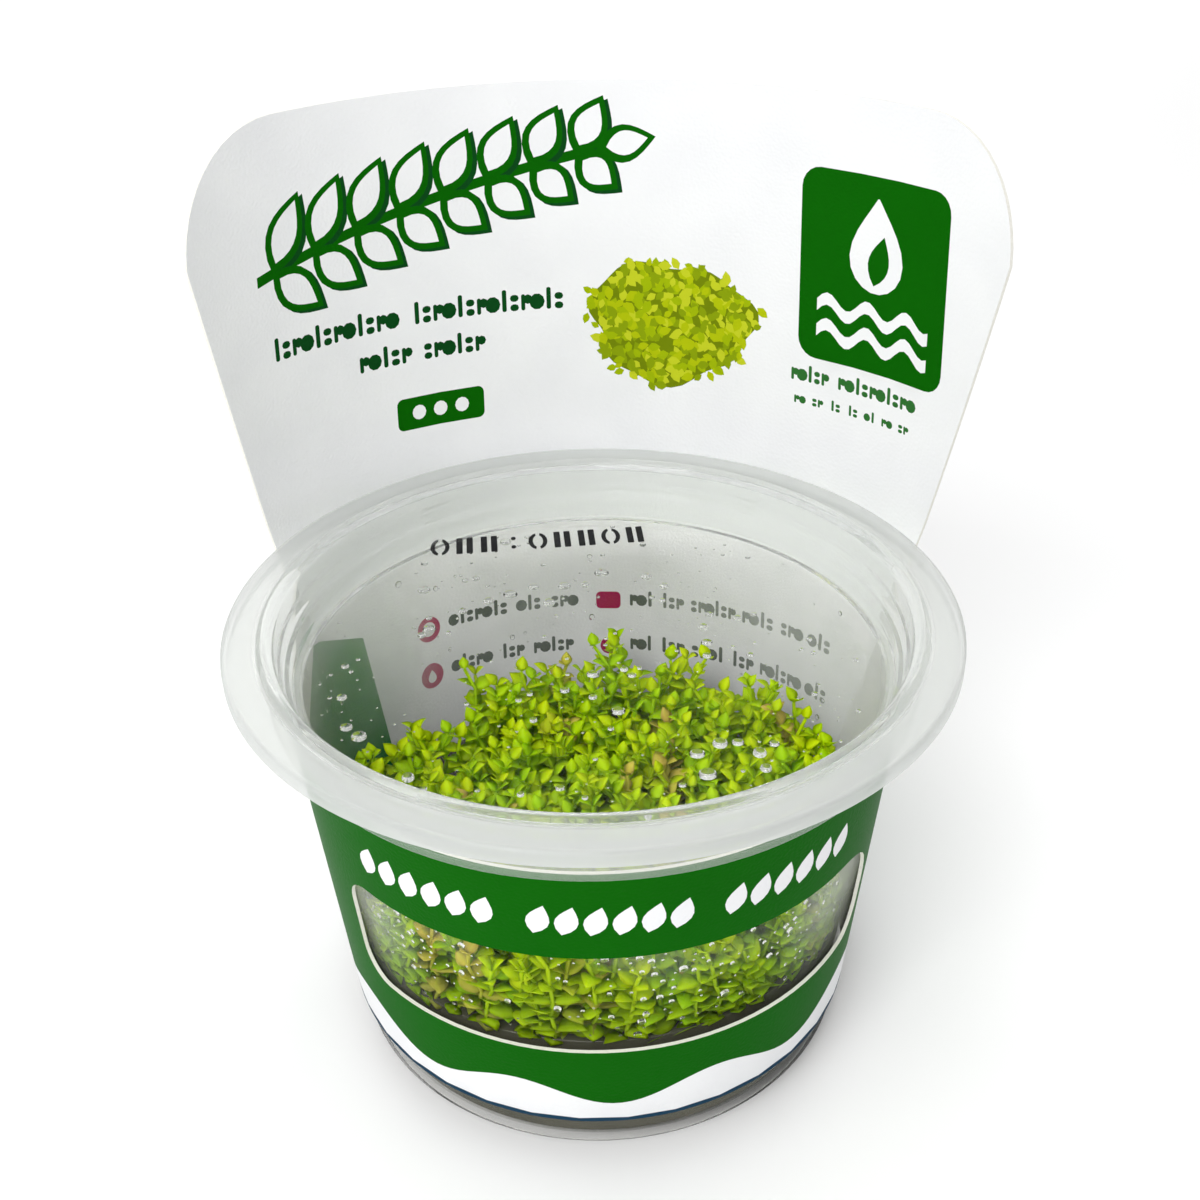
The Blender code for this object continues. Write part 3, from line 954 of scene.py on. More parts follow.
def inside_print():
    inks = []
    for row, (z, left, right) in enumerate(INSIDE_ROWS):
        hole = drop_shape(ROW_MARK_X, z - 0.9, 0.9, 2.2) if row else ring_shape(ROW_MARK_X, z + 0.3, 1.2)
        inks += [(ring_shape(ROW_MARK_X, z + 0.3, 2.1), CRIMSON), (hole, BOARD_GREY)]
        inks += sign_line(-25.0, z - 0.4, left, 2.0, 1.6, SIGN_GREY)
        inks += sign_line(6.4, z - 0.4, right, 2.0, 1.2, SIGN_GREY)
    inks.append((rounded_box(*MIDDLE_BOX), CRIMSON))
    inks.append((ring_shape(*MIDDLE_RING), CRIMSON))
    return inks


print("wave from", WAVE_Z - WAVE_SWING, "to", WAVE_Z + WAVE_SWING, "mm")

# %% [markdown]
# From blank to sheet.
# Blender's delaunay_2d_cdt takes loose points and closed outlines, and returns triangles that keep every
# outline. A regular grid of loose points makes the triangles small enough to bend. The two blanks share
# their points along the folds, so that the strip and the panel weld there.

# %% Triangulate a printed blank
BLANK_STEP = 2.4
WINDOW_Z = (21.5, 40.1)
WINDOW_TURN = (-53.8, 65.5)
WINDOW_CORNERS = ((5.0, 5.0), (5.0, 10.0))
FOLD_STEPS = 22


def fold_heights():
    step_z = (STRIP_TOP_Z - CARD_BOTTOM_Z) / FOLD_STEPS
    plain = {round(CARD_BOTTOM_Z + step_z * step, 4) for step in range(FOLD_STEPS + 1)}
    crossings = {round(fold_wave_z(side), 4) for side in (-1, 1)}
    return sorted(plain | crossings | {EDGE_SHADOW_Z, *TAB_Z})


def window_shape():
    left, right = (math.radians(turn) * STRIP_RADIUS for turn in WINDOW_TURN)
    (low_left, high_left), (low_right, high_right) = WINDOW_CORNERS
    points = []
    corners = (
        (right - low_right, WINDOW_Z[0] + low_right, low_right, -90),
        (right - high_right, WINDOW_Z[1] - high_right, high_right, 0),
        (left + high_left, WINDOW_Z[1] - high_left, high_left, 90),
        (left + low_left, WINDOW_Z[0] + low_left, low_left, 180),
    )
    for x, z, radius, start in corners:
        for step in range(9):
            angle = math.radians(start + 90 * step / 8)
            points.append((x + radius * math.cos(angle), z + radius * math.sin(angle)))
    return points


def along_path(points, step):
    """The closed outline, turned anticlockwise, with its long sides divided."""
    area = sum(x0 * z1 - x1 * z0 for (x0, z0), (x1, z1) in zip(points, points[1:] + points[:1]))
    points = points if area > 0 else points[::-1]
    path = []
    for (x0, z0), (x1, z1) in zip(points, points[1:] + points[:1]):
        count = max(1, round(math.hypot(x1 - x0, z1 - z0) / step))
        path += [(x0 + (x1 - x0) * part / count, z0 + (z1 - z0) * part / count) for part in range(count)]
    return path


def printed_blank(outline, inner_inks, outer_inks, holes=()):
    """Triangles of a blank with two colours each, as (points, triangles, inner colours, outer colours)."""
    shapes = [outline, *(along_path(hole, BLANK_STEP) for hole in holes)]
    shapes += [along_path(shape, 3 * BLANK_STEP) for shape, _ in inner_inks + outer_inks]
    points, rings = [], []
    for shape in shapes:
        rings.append(list(range(len(points), len(points) + len(shape))))
        points += shape
    xs, zs = [p[0] for p in outline], [p[1] for p in outline]
    for column in range(int((max(xs) - min(xs)) / BLANK_STEP)):
        for row in range(int((max(zs) - min(zs)) / BLANK_STEP)):
            x, z = min(xs) + (column + 0.5) * BLANK_STEP, min(zs) + (row + 0.5) * BLANK_STEP
            points.append((x + 0.5 * BLANK_STEP * (row % 2), z))
    flat, _, faces, _, _, sources = delaunay_2d_cdt([Vector(p) for p in points], [], rings, 1, 0.0005)
    inner_first = 1 + len(holes)
    outer_first = inner_first + len(inner_inks)
    kept, inner, outer = [], [], []
    for face, over in zip(faces, sources):
        if 0 not in over or any(index in over for index in range(1, inner_first)):
            continue
        kept.append(face)
        on_inner = [index for index in over if inner_first <= index < outer_first]
        on_outer = [index for index in over if index >= outer_first]
        inner.append(inner_inks[max(on_inner) - inner_first][1] if on_inner else None)
        outer.append(outer_inks[max(on_outer) - outer_first][1] if on_outer else None)
    return flat, kept, inner, outer


print("fold heights:", len(fold_heights()))

# %% [markdown]
# Card stock.
# Coated card is smooth and slightly glossy over the ink, with the faint mottle of paper fibres. The
# printed colour comes from a colour attribute on the mesh, one for each face of the sheet, so its edges
# stay as sharp as the mesh. The cut edge shows the cream-coloured core.


# %% Make the card's finishes
def card_look(name, attribute):
    look = Look(name)
    flat = look.add("UVMap", {"uv_map": "blank"})
    ink = look.add("Attribute", {"attribute_name": attribute}, out="Color")
    fibre = look.noise(flat, 900.0, 0.0)
    mottle = look.noise(flat, 45.0, 0.0)
    shade = look.mix(1.0, ink, look.mix(mottle, (0.93, 0.93, 0.94), (1.0, 1.0, 1.0)), "MULTIPLY")
    return look.finish(
        look.add(
            "BsdfPrincipled",
            None,
            {
                "Base Color": shade,
                "Roughness": fibre * 0.12 + 0.36,
                "Specular IOR Level": 0.02,
                "Normal": look.bump(fibre, 0.12, 0.0004),
            },
        )
    )


def edge_look():
    look = Look("card_edge")
    fibre = look.noise(look.place(), 3.0, 4.0)
    colour = look.mix(fibre, (0.72, 0.71, 0.64), (0.88, 0.87, 0.82))
    return look.finish(look.add("BsdfPrincipled", None, {"Base Color": colour, "Roughness": 0.8}))


card_finishes = [card_look("card_" + side, "ink_" + side) for side in ("outside", "inside")]
card_finishes.append(edge_look())
print("card finishes:", ", ".join(finish.name for finish in card_finishes))

# %% [markdown]
# Folding the card.
# Both blanks are bent, welded along the folds and given the card's thickness by Solidify, which grows
# outwards. Its material offsets put the outside print and the cut edge on their own faces.


# %% Fold the card round the cup
STRIP_STEPS = 90
PANEL_STEPS = 40
SIDE_STEPS = 22
CORNER_STEPS = 12
BACK_REACH = 80
MAP_SIDE = 400  # millimetres of blank across the UV map
MAP_MARGIN = 100
PANEL_SHIFT = 140
WELD = 0.02


def joined_sides(left, right, steps):
    """A blank's outline from its two sides, with level runs of points below and above."""

    def level_run(start, end):
        return [(start[0] + (end[0] - start[0]) * step / steps, start[1]) for step in range(1, steps)]

    return level_run(left[0], right[0]) + right + level_run(right[-1], left[-1]) + left[::-1]


def strip_outline():
    heights = fold_heights()
    left, right = ([(side * fold_turn(side, z) * STRIP_RADIUS, z) for z in heights] for side in (-1, 1))
    return joined_sides(left, right, STRIP_STEPS)


def panel_outline():
    heights = fold_heights()
    side_top = CARD_TOP_Z - CARD_CORNER
    climb = side_top - STRIP_TOP_Z
    heights += [STRIP_TOP_Z + climb * step / SIDE_STEPS for step in range(1, SIDE_STEPS + 1)]
    for step in range(1, CORNER_STEPS + 1):
        heights.append(side_top + CARD_CORNER * math.sin(math.radians(90 / CORNER_STEPS * step)))
    left, right = ([(panel_edge(side, z), z) for z in heights] for side in (-1, 1))
    return joined_sides(left, right, PANEL_STEPS)


def strip_inks():
    low, high = TAB_Z
    tab = [(-BLANK_REACH, low), (-66.0, low), (-62.0, high), (-BLANK_REACH, high)]
    outer = [(white_foot(), CARD_WHITE), (edge_shadow_band(), EDGE_SHADOW_BLUE)] + mark_row()
    return [(tab, TAB_GREEN)], outer


def panel_inks():
    inner = header_print() + inside_print()
    low, high = TAB_Z
    tab = [(-BLANK_REACH, high), (-50.0, high), (-41.5, 41.0)]
    tab += [(-37.4, 16.0), (-42.0, low), (-BLANK_REACH, low)]
    inner.append((tab, TAB_GREEN))
    back = [(-BACK_REACH, 0), (BACK_REACH, 0), (BACK_REACH, STRIP_TOP_Z)]
    back += [(0, STRIP_TOP_Z + 5), (-BACK_REACH, STRIP_TOP_Z)]
    outer = [(back, GREEN), (back_foot(), CARD_WHITE), (edge_shadow_band(), EDGE_SHADOW_BLUE)]
    for row in range(3):
        outer += sign_line(-26, 86 - 5 * row, (14, 9, 17 - 4 * row), 1.8, 2.0, SOFT_GREEN)
    return inner, outer


def card_sheet():
    """Both blanks, bent and welded into one sheet without thickness."""
    bm = bmesh.new()
    inside = bm.loops.layers.float_color.new("ink_inside")
    outside = bm.loops.layers.float_color.new("ink_outside")
    blank_uv = bm.loops.layers.uv.new("blank")
    parts = (
        # outline, inks, holes, bend, colours inside and outside, place on the UV map, mirrored
        (strip_outline(), strip_inks(), (window_shape(),), bend_strip, (BOARD_GREY, GREEN), 0, False),
        (panel_outline(), panel_inks(), (), bend_panel, (CARD_WHITE, BOARD_GREY), PANEL_SHIFT, True),
    )
    for outline, (inner_inks, outer_inks), holes, bend, base, shift, mirrored in parts:
        flat, faces, inner, outer = printed_blank(outline, inner_inks, outer_inks, holes)
        used = {index for corners in faces for index in corners}
        verts = {index: bm.verts.new(bend(flat[index].x, flat[index].y)) for index in used}
        for corners, on_inner, on_outer in zip(faces, inner, outer):
            face = bm.faces.new([verts[index] for index in (reversed(corners) if mirrored else corners)])
            face.smooth = True
            for loop, index in zip(face.loops, reversed(corners) if mirrored else corners):
                loop[inside] = (*(on_inner or base[0]), 1)
                loop[outside] = (*(on_outer or base[1]), 1)
                across = flat[index].x + shift + MAP_MARGIN
                loop[blank_uv].uv = (across / MAP_SIDE, flat[index].y / MAP_SIDE)
    bmesh.ops.remove_doubles(bm, verts=bm.verts, dist=WELD * MM)
    mesh = bpy.data.meshes.new("card_sheet")
    bm.to_mesh(mesh)
    bm.free()
    for finish in card_finishes:
        mesh.materials.append(finish)
    return mesh


def fold_card():
    source = bpy.data.objects.new("card_sheet", card_sheet())
    bpy.context.scene.collection.objects.link(source)
    shell = source.modifiers.new("thickness", "SOLIDIFY")
    shell.thickness = CARD * MM
    shell.offset = 1
    shell.use_quality_normals = True
    shell.material_offset = 1
    shell.material_offset_rim = 2
    done = baked("printed_card", source)
    done.set_sharp_from_angle(angle=math.radians(40))
    return done


card = place_piece("printed_card", fold_card(), "card_sleeve")
print("card has", len(card.data.polygons), "faces")

# %% [markdown]
# Growing things with Geometry Nodes.
# The plants and the water drops repeat one small shape hundreds of times, each turned and sized a little
# differently. Geometry Nodes does this with fields: one formula for all points. Growth builds such a tree
# with named inputs, and its grow method runs it once and keeps the plain mesh.


# %% Build Geometry Nodes trees
class Growth(Net):
    """A Geometry Nodes tree with named inputs that ends in one real mesh."""

    def __init__(self, name, inputs):
        super().__init__(bpy.data.node_groups.new(name, "GeometryNodeTree"))
        sockets = self.tree.interface
        sockets.new_socket("Ground", in_out="INPUT", socket_type="NodeSocketGeometry")
        self.identifiers = {}
        for label, kind in inputs.items():
            made = sockets.new_socket(label, in_out="INPUT", socket_type="NodeSocket" + kind)
            self.identifiers[label] = made.identifier
        sockets.new_socket("Geometry", in_out="OUTPUT", socket_type="NodeSocketGeometry")
        self.source = self.tree.nodes.new("NodeGroupInput")

    def given(self, label):
        return Signal(self, self.source.outputs[label])

    def attribute(self, label, kind="FLOAT"):
        settings = {"data_type": kind}
        return self.add("GeometryNodeInputNamedAttribute", settings, {"Name": label})

    def store(self, geometry, label, value, kind="FLOAT"):
        settings = {"data_type": kind, "domain": "POINT"}
        sockets = {"Geometry": geometry, "Name": label, "Value": value}
        return self.add("GeometryNodeStoreNamedAttribute", settings, sockets)

    def random(self, low, high, seed):
        """A different number for each element; seed is added to the tree's own seed."""
        sockets = {"Min_001": low, "Max_001": high, "Seed": self.given("Seed") + seed}
        return self.add("FunctionNodeRandomValue", {"data_type": "FLOAT"}, sockets, "Value_001")

    def vector(self, x, y, z):
        return self.add("CombineXYZ", None, {"X": x, "Y": y, "Z": z})

    def repeated(self, points, amount):
        """Each point several times over, as (points, number of the copy)."""
        sockets = {"Geometry": points, "Amount": amount}
        copies = self.add("GeometryNodeDuplicateElements", {"domain": "POINT"}, sockets, "Geometry")
        return copies, copies.beside("Duplicate Index")

    def drawn_in(self, geometry, place, share):
        """Everything moved towards the cup's axis, to a share of its distance."""
        inside = self.vectors("MULTIPLY", place, self.vector(share, share, 1.0))
        return self.add("GeometryNodeSetPosition", None, {"Geometry": geometry, "Position": inside})

    def finish(self, geometry):
        real = self.add("GeometryNodeRealizeInstances", None, {"Geometry": geometry})
        sockets = {"Geometry": real, "Material": self.given("Material")}
        done = self.add("GeometryNodeSetMaterial", None, sockets)
        self.tree.links.new(done.socket, self.tree.nodes.new("NodeGroupOutput").inputs[0])

    def grow(self, name, ground, values):
        source = bpy.data.objects.new(name, ground)
        bpy.context.scene.collection.objects.link(source)
        modifier = source.modifiers.new(name, "NODES")
        modifier.node_group = self.tree
        for label, value in values.items():
            modifier[self.identifiers[label]] = value
        return baked(name, source)


def pattern_object(name, points, faces, smooth=True, **layers):
    """A small mesh that a tree repeats. It stays out of the scene."""
    mesh = bpy.data.meshes.new(name)
    mesh.from_pydata([[value * MM for value in point] for point in points], [], faces)
    for label, values in layers.items():
        mesh.attributes.new(label, "FLOAT", "POINT").data.foreach_set("value", values)
    if smooth:
        mesh.shade_smooth()
    return bpy.data.objects.new(name, mesh)


print("trees are ready")

# %% [markdown]
# One leaf.
# A dwarf baby tears leaf is a fleshy pointed oval of three to four millimetres. Its middle vein lies a
# little lower than its edges. The mesh is a closed lens: a row of points on each side of the vein, above
# and below.

# %% Make one leaf
LEAF_LENGTH = 4.1
LEAF_WIDTH = 3.2
LEAF_STEPS = 6
LEAF_THICKNESS = 0.22
LEAF_CUP = 0.35
LEAF_DROOP = 0.55


def make_leaf():
    points, along, across = [(0, 0, 0)], [0.0], [0.0]
    for step in range(1, LEAF_STEPS):
        share = step / LEAF_STEPS
        half = LEAF_WIDTH / 2 * math.sin(math.pi * share**0.8)
        droop = -LEAF_DROOP * share**2
        height = LEAF_THICKNESS / 2 * math.sin(math.pi * share)
        x = LEAF_LENGTH * share
        rim = droop + LEAF_CUP * half
        points += [(x, half, rim), (x, 0, droop + height), (x, -half, rim), (x, 0, droop - height)]
        along += [share] * 4
        across += [1.0, 0.0, 1.0, 0.0]
    tip = len(points)
    points.append((LEAF_LENGTH, 0, -LEAF_DROOP))
    along.append(1.0)
    across.append(0.0)
    faces = []
    for strip in range(4):
        near, far = strip, (strip + 1) % 4
        faces.append((0, 1 + near, 1 + far))
        for step in range(LEAF_STEPS - 2):
            start = 1 + 4 * step
            faces.append((start + near, start + 4 + near, start + 4 + far, start + far))
        last = 1 + 4 * (LEAF_STEPS - 2)
        faces.append((last + near, tip, last + far))
    return pattern_object("one_leaf", points, faces, along=along, across=across)


leaf = make_leaf()
print("leaf has", len(leaf.data.polygons), "faces")

# %% [markdown]
# Leaves and stems.
# Light comes through such thin leaves, so the finish mixes a glossy surface with a Translucent one. Young
# leaves at the tips are yellow-green and old ones below are a deeper green; the deeper green towards the
# foot of each shoot is also painted shade, for the shade down in the mat. Each shoot has its own tint,
# and a few have dried. Only Mix Shader factors vary in the glow; the Translucent colours stay fixed.


# %% Make the leaf's finish
# Leaf glow and colour darken towards the foot of each shoot: partly older leaves, partly painted shade down
# in the mat.
OLD_AND_SHADED_GLOW = (0.41, 0.59, 0.005)
YOUNG_GLOW = (0.75, 0.94, 0.006)
DRY_GLOW = (0.65, 0.64, 0.07)
GLOW_SHARE = 0.42
VEIN = (0.62, 0.82, 0.03)
AGE_AND_SHADE_COLOURS = ((0.0, (0.22, 0.38, 0.001)), (0.45, (0.46, 0.70, 0.001)), (1.0, (0.78, 0.97, 0.002)))
SHOOT_TINTS = (
    # place on the ramp, and what the leaf's colour is multiplied by
    (0.0, (0.7, 0.9, 0.7)),
    (0.5, (1.0, 1.0, 1.0)),
    (0.94, (1.1, 1.0, 1.0)),
    (1.0, (1.25, 0.72, 90.0)),
)


def leaf_look():
    look = Look("fresh_leaf")
    names = ("age", "tint", "across")
    age, tint, across = (look.add("Attribute", {"attribute_name": name}, out="Fac") for name in names)
    where = look.place()
    mottle = look.noise(where, 0.9, 0.0)
    # Joint level with a mottle picks the colour; the darker foot of each shoot is partly age and partly
    # painted shade.
    ripe_and_shade = age * 0.75 + mottle * 0.35
    by_age_and_shade = look.add("ValToRGB", {"stops": AGE_AND_SHADE_COLOURS}, {"Fac": ripe_and_shade})
    own = look.add("ValToRGB", {"stops": SHOOT_TINTS}, {"Fac": tint})
    colour = look.mix(1.0, by_age_and_shade, own, "MULTIPLY")
    veined = look.mix(across.between(0.25, 0.0) * 0.25, colour, VEIN)
    skin = look.add(
        "BsdfPrincipled",
        None,
        {
            "Base Color": veined,
            "Roughness": mottle * 0.2 + 0.3,
            "Specular IOR Level": 0.1,
            "Normal": look.bump(look.noise(where, 2.2, 0.0), 0.25, 0.0003),
        },
    )
    glows = [look.add("BsdfTranslucent", None, {"Color": glow}) for glow in (OLD_AND_SHADED_GLOW, YOUNG_GLOW, DRY_GLOW)]
    fresh = look.add("MixShader", None, {0: ripe_and_shade, 1: glows[0], 2: glows[1]})
    glow = look.add("MixShader", None, {0: tint.between(0.94, 1.0), 1: fresh, 2: glows[2]})
    return look.finish(look.add("MixShader", None, {0: GLOW_SHARE, 1: skin, 2: glow}))


fresh_leaf = leaf_look()
print("leaf finish:", fresh_leaf.name)

# %% [markdown]
# How a shoot grows.
# The tree scatters shoots over the ground, repeats each shoot's point once for every joint of the stem
# and raises it, threads a curve through the joints for the stem, and sets two opposite leaves on each
# joint, every pair crosswise to the one below. Leaves near the tip are smaller and more upright.

# %% Build the shoot's tree
JOINTS = 7
STEM_RADIUS = 0.3
STEM_WOBBLE = 0.6
TIP_TILT = 0.85
TIP_SHRINK = 0.35
PRESS_GAP = 0.25  # millimetres between the leaves and the wall
PRESS_SOFT = 1.2  # depth over which leaves are pressed


def shoot_tree():
    inputs = {"Leaf": "Object", "Spacing": "Float", "Lean": "Float", "Reach": "Float"}
    inputs |= {"Seed": "Int", "Material": "Material"}
    net = Growth("shoots", inputs)
    scatter = {
        "Mesh": net.given("Ground"),
        "Distance Min": net.given("Spacing"),
        "Density Max": 1.0e6,
        "Density Factor": net.attribute("cover"),
        "Seed": net.given("Seed"),
    }
    poisson = {"distribute_method": "POISSON"}
    points = net.add("GeometryNodeDistributePointsOnFaces", poisson, scatter, "Points")
    points = net.store(points, "shoot", net.add("GeometryNodeInputIndex"), "INT")
    points = net.store(points, "spin", net.random(0.0, math.tau, 1))
    points = net.store(points, "tint", net.random(0.0, 1.0, 2))
    points = net.store(points, "rise", net.attribute("rise") * net.random(0.82, 1.12, 3))
    lean = net.given("Lean")
    sideways = net.vector(net.random(-1.0, 1.0, 4) * lean, net.random(-1.0, 1.0, 5) * lean, 0.0)
    points = net.store(points, "lean", sideways, "FLOAT_VECTOR")

    joints, level = net.repeated(points, JOINTS)
    joints = net.store(joints, "age", level / (JOINTS - 1))
    age, rise = net.attribute("age"), net.attribute("rise")
    sockets = {"Vector": net.attribute("lean", "FLOAT_VECTOR"), "Scale": rise * age * age}
    bend = net.add("VectorMath", {"operation": "SCALE"}, sockets)
    climb = rise * age**1.15
    aside = STEM_WOBBLE * MM
    wobble = net.vector(net.random(-aside, aside, 6), net.random(-aside, aside, 7), climb)
    move = net.vectors("ADD", bend, wobble)
    joints = net.add("GeometryNodeSetPosition", None, {"Geometry": joints, "Offset": move})
    place = net.add("GeometryNodeInputPosition")
    squeeze = (net.given("Reach") / net.from_axis(place)).math("MINIMUM", 1.0)
    joints = net.drawn_in(joints, place, squeeze)

    threads = {"Points": joints, "Curve Group ID": net.attribute("shoot", "INT"), "Weight": age}
    curves = net.add("GeometryNodePointsToCurves", None, threads)
    ring = net.add("GeometryNodeCurvePrimitiveCircle", None, {"Resolution": 5, "Radius": STEM_RADIUS * MM})
    tube = {"Curve": curves, "Profile Curve": ring, "Fill Caps": True}
    stems = net.add("GeometryNodeCurveToMesh", None, tube)

    sides, side = net.repeated(joints, 2)
    crosswise = age * (JOINTS - 1) * (math.pi / 2)
    turn = net.attribute("spin") + crosswise + side * math.pi + net.random(-0.3, 0.3, 8)
    tilt = age * age * TIP_TILT + net.random(-0.2, 0.25, 9)
    rotation = net.vector(net.random(-0.3, 0.3, 10), tilt * -1, turn)
    size = (age**3 * -TIP_SHRINK + 1.0) * net.random(0.8, 1.15, 11)
    leaves = net.add(
        "GeometryNodeInstanceOnPoints",
        None,
        {
            "Points": sides,
            "Instance": net.add("GeometryNodeObjectInfo", None, {"Object": net.given("Leaf")}, "Geometry"),
            "Rotation": rotation,
            "Scale": size,
        },
    )
    join = net.tree.nodes.new("GeometryNodeJoinGeometry")
    for part in (stems, leaves):
        net.tree.links.new(part.socket, join.inputs[0])
    real = net.add("GeometryNodeRealizeInstances", None, {"Geometry": Signal(net, join.outputs[0])})
    net.finish(press_inside(net, real))
    return net


def press_inside(net, geometry):
    """Press whatever would reach past the wall softly against its inner side."""
    place = net.add("GeometryNodeInputPosition")
    reach = net.from_axis(place)
    height = net.add("SeparateXYZ", None, {"Vector": place}, "Z")
    slope = (BODY_TOP_RADIUS - BASE_RADIUS) / SHOULDER_Z
    knee = height * slope + (BASE_RADIUS - WALL - PRESS_GAP - PRESS_SOFT) * MM
    past = (reach - knee).math("MAXIMUM", 0.0)
    pressed = (1 - (past * (-1 / (PRESS_SOFT * MM))).math("EXPONENT")) * (PRESS_SOFT * MM)
    shrink = (reach.math("MINIMUM", knee) + pressed) / reach.math("MAXIMUM", MM * 0.01)
    return net.drawn_in(geometry, place, shrink)


shoots = shoot_tree()
print("shoot tree has", len(shoots.tree.nodes), "nodes")

# %% [markdown]
# The mat of plants.
# A laboratory plants the cup with a few small portions, which grow into one mat. The mat's height is a
# smooth map over the gel: a few tufts stand up out of it, and it thins out at the back, where the gel
# shows. Every portion keeps the part of the map that is nearest to it and becomes a piece of its own.

# %% Grow the seven clumps
CLUMPS = {
    # name: turn from the front in degrees, or None for the middle one
    "centre": None,
    "front": 5,
    "front_right": 65,
    "back_right": 125,
    "back": 185,
    "back_left": 245,
    "front_left": 305,
}
CLUMP_SPACING = 24.8
PLANT_FOOT_Z = 20.7
MAT_HEIGHT = 12.2
MAT_REACH = 36.6  # of the stems from the cup's axis
MAT_EDGE = 38.0  # of the ground
MAT_STEP = 2.0
BACK_EDGE = 5.6  # by how much the ground's edge draws in at the back
EDGE_FADE = 1.5
BARE_SPOT = (-26.0, 24.0, 7.0)
BARE_DEPTH = 1.4
SHOOT_SPACING = 2.15
SHOOT_LEAN = 0.3
PLANT_SEED = 20
TUFTS = (
    # x, y, spread and extra height, in millimetres
    (5.0, 29.0, 3.0, 7.5),
    (-20.0, 20.0, 3.5, 4.0),
    (26.0, 21.0, 3.5, 5.5),
    (31.0, 17.0, 2.5, 4.0),
    (36.0, 4.0, 2.5, 4.0),
    (14.0, 30.0, 2.5, 3.0),
    (-6.0, 28.0, 2.5, 3.0),
)


def clump_centre(turn):
    if turn is None:
        return (0.0, 0.0)
    return (CLUMP_SPACING * math.sin(math.radians(turn)), -CLUMP_SPACING * math.cos(math.radians(turn)))


def hill(x, y, top_x, top_y, spread):
    """A bell of height 1 round its top."""
    return math.exp(-((x - top_x) ** 2 + (y - top_y) ** 2) / (2 * spread**2))


def mat_rise(x, y):
    """Height of the shoots over the gel."""
    lumps = 1.1 * math.sin(0.33 * x + 1.0) * math.cos(0.29 * y) + 0.8 * math.sin(0.7 * x - 0.5 * y)
    tall = sum(extra * hill(x, y, *tuft) for *tuft, extra in TUFTS)
    return MAT_HEIGHT + lumps + tall


def mat_cover(x, y):
    """1 where shoots stand close, 0 on bare gel."""
    reach = math.hypot(x, y)
    edge = MAT_EDGE - BACK_EDGE * max(0.0, y / reach if reach else 0) ** 2
    gap = hill(x, y, *BARE_SPOT)
    return max(0.0, min(1.0, (edge - reach) / EDGE_FADE)) * max(0.0, 1 - BARE_DEPTH * gap)


def clump_ground(name):
    """The part of the gel's top that is nearest to one clump's middle."""
    centres = {label: clump_centre(turn) for label, turn in CLUMPS.items()}
    mesh = bpy.data.meshes.new("ground_" + name)
    bm = bmesh.new()
    corners = {}
    count = int(MAT_EDGE / MAT_STEP)
    for column in range(-count, count):
        for row in range(-count, count):
            middle = ((column + 0.5) * MAT_STEP, (row + 0.5) * MAT_STEP)
            nearest = min(centres, key=lambda label: math.dist(centres[label], middle))
            if nearest != name or math.hypot(*middle) > MAT_EDGE:
                continue
            keys = [(column + dx, row + dy) for dx, dy in ((0, 0), (1, 0), (1, 1), (0, 1))]
            for key in keys:
                if key not in corners:
                    place = Vector((key[0] * MAT_STEP, key[1] * MAT_STEP, PLANT_FOOT_Z)) * MM
                    corners[key] = bm.verts.new(place)
            bm.faces.new([corners[key] for key in keys])
    bm.to_mesh(mesh)
    bm.free()
    places = [(1000 * v.co.x, 1000 * v.co.y) for v in mesh.vertices]
    rises = [mat_rise(x, y) * MM for x, y in places]
    covers = [mat_cover(x, y) for x, y in places]
    mesh.attributes.new("rise", "FLOAT", "POINT").data.foreach_set("value", rises)
    mesh.attributes.new("cover", "FLOAT", "POINT").data.foreach_set("value", covers)
    return mesh


for number, clump in enumerate(CLUMPS):
    settings = {"Leaf": leaf, "Spacing": SHOOT_SPACING * MM, "Lean": SHOOT_LEAN, "Reach": MAT_REACH * MM}
    settings |= {"Seed": PLANT_SEED + number, "Material": fresh_leaf}
    grown = shoots.grow("plants_" + clump, clump_ground(clump), settings)
    place_piece("plants_" + clump, grown, "plant_clump_" + clump)
    print(clump, "has", len(grown.polygons), "faces")

# %% [markdown]
# Water drops.
# The air in the sealed cup is moist, so drops sit under the lid and on the wall. A drop is a flat dome;
# the tree sets it on the wet surface with a random size, mostly small, and turns it along the surface.
# Each drop's foot is sunk a hair into the plastic, so that no air gap shows.

# %% Let the drops settle
DROP_STEPS = 10
DROP_RINGS = 4
DROP_HEIGHT = 0.5
DROP_SINK = 0.08
DROP_SEED = 70


def make_drop():
    """A dome of radius one metre, which the tree scales down."""
    points = [(0, 0, -DROP_SINK * 1000)]
    for ring in range(DROP_RINGS):
        lift = math.radians(90 * ring / DROP_RINGS)
        for step in range(DROP_STEPS):
            turn = math.tau * step / DROP_STEPS
            height = DROP_HEIGHT * math.sin(lift) if ring else -DROP_SINK
            spot = (math.cos(lift) * math.cos(turn), math.cos(lift) * math.sin(turn), height)
            points.append([1000 * value for value in spot])
    points.append((0, 0, 1000 * DROP_HEIGHT))
    faces = []
    for step in range(DROP_STEPS):
        after = (step + 1) % DROP_STEPS
        faces.append((0, 1 + after, 1 + step))
        for ring in range(DROP_RINGS - 1):
            low, high = 1 + DROP_STEPS * ring, 1 + DROP_STEPS * (ring + 1)
            faces.append((low + step, low + after, high + after, high + step))
        last = 1 + DROP_STEPS * (DROP_RINGS - 1)
        faces.append((last + step, last + after, len(points) - 1))
    return pattern_object("one_drop", points, faces)


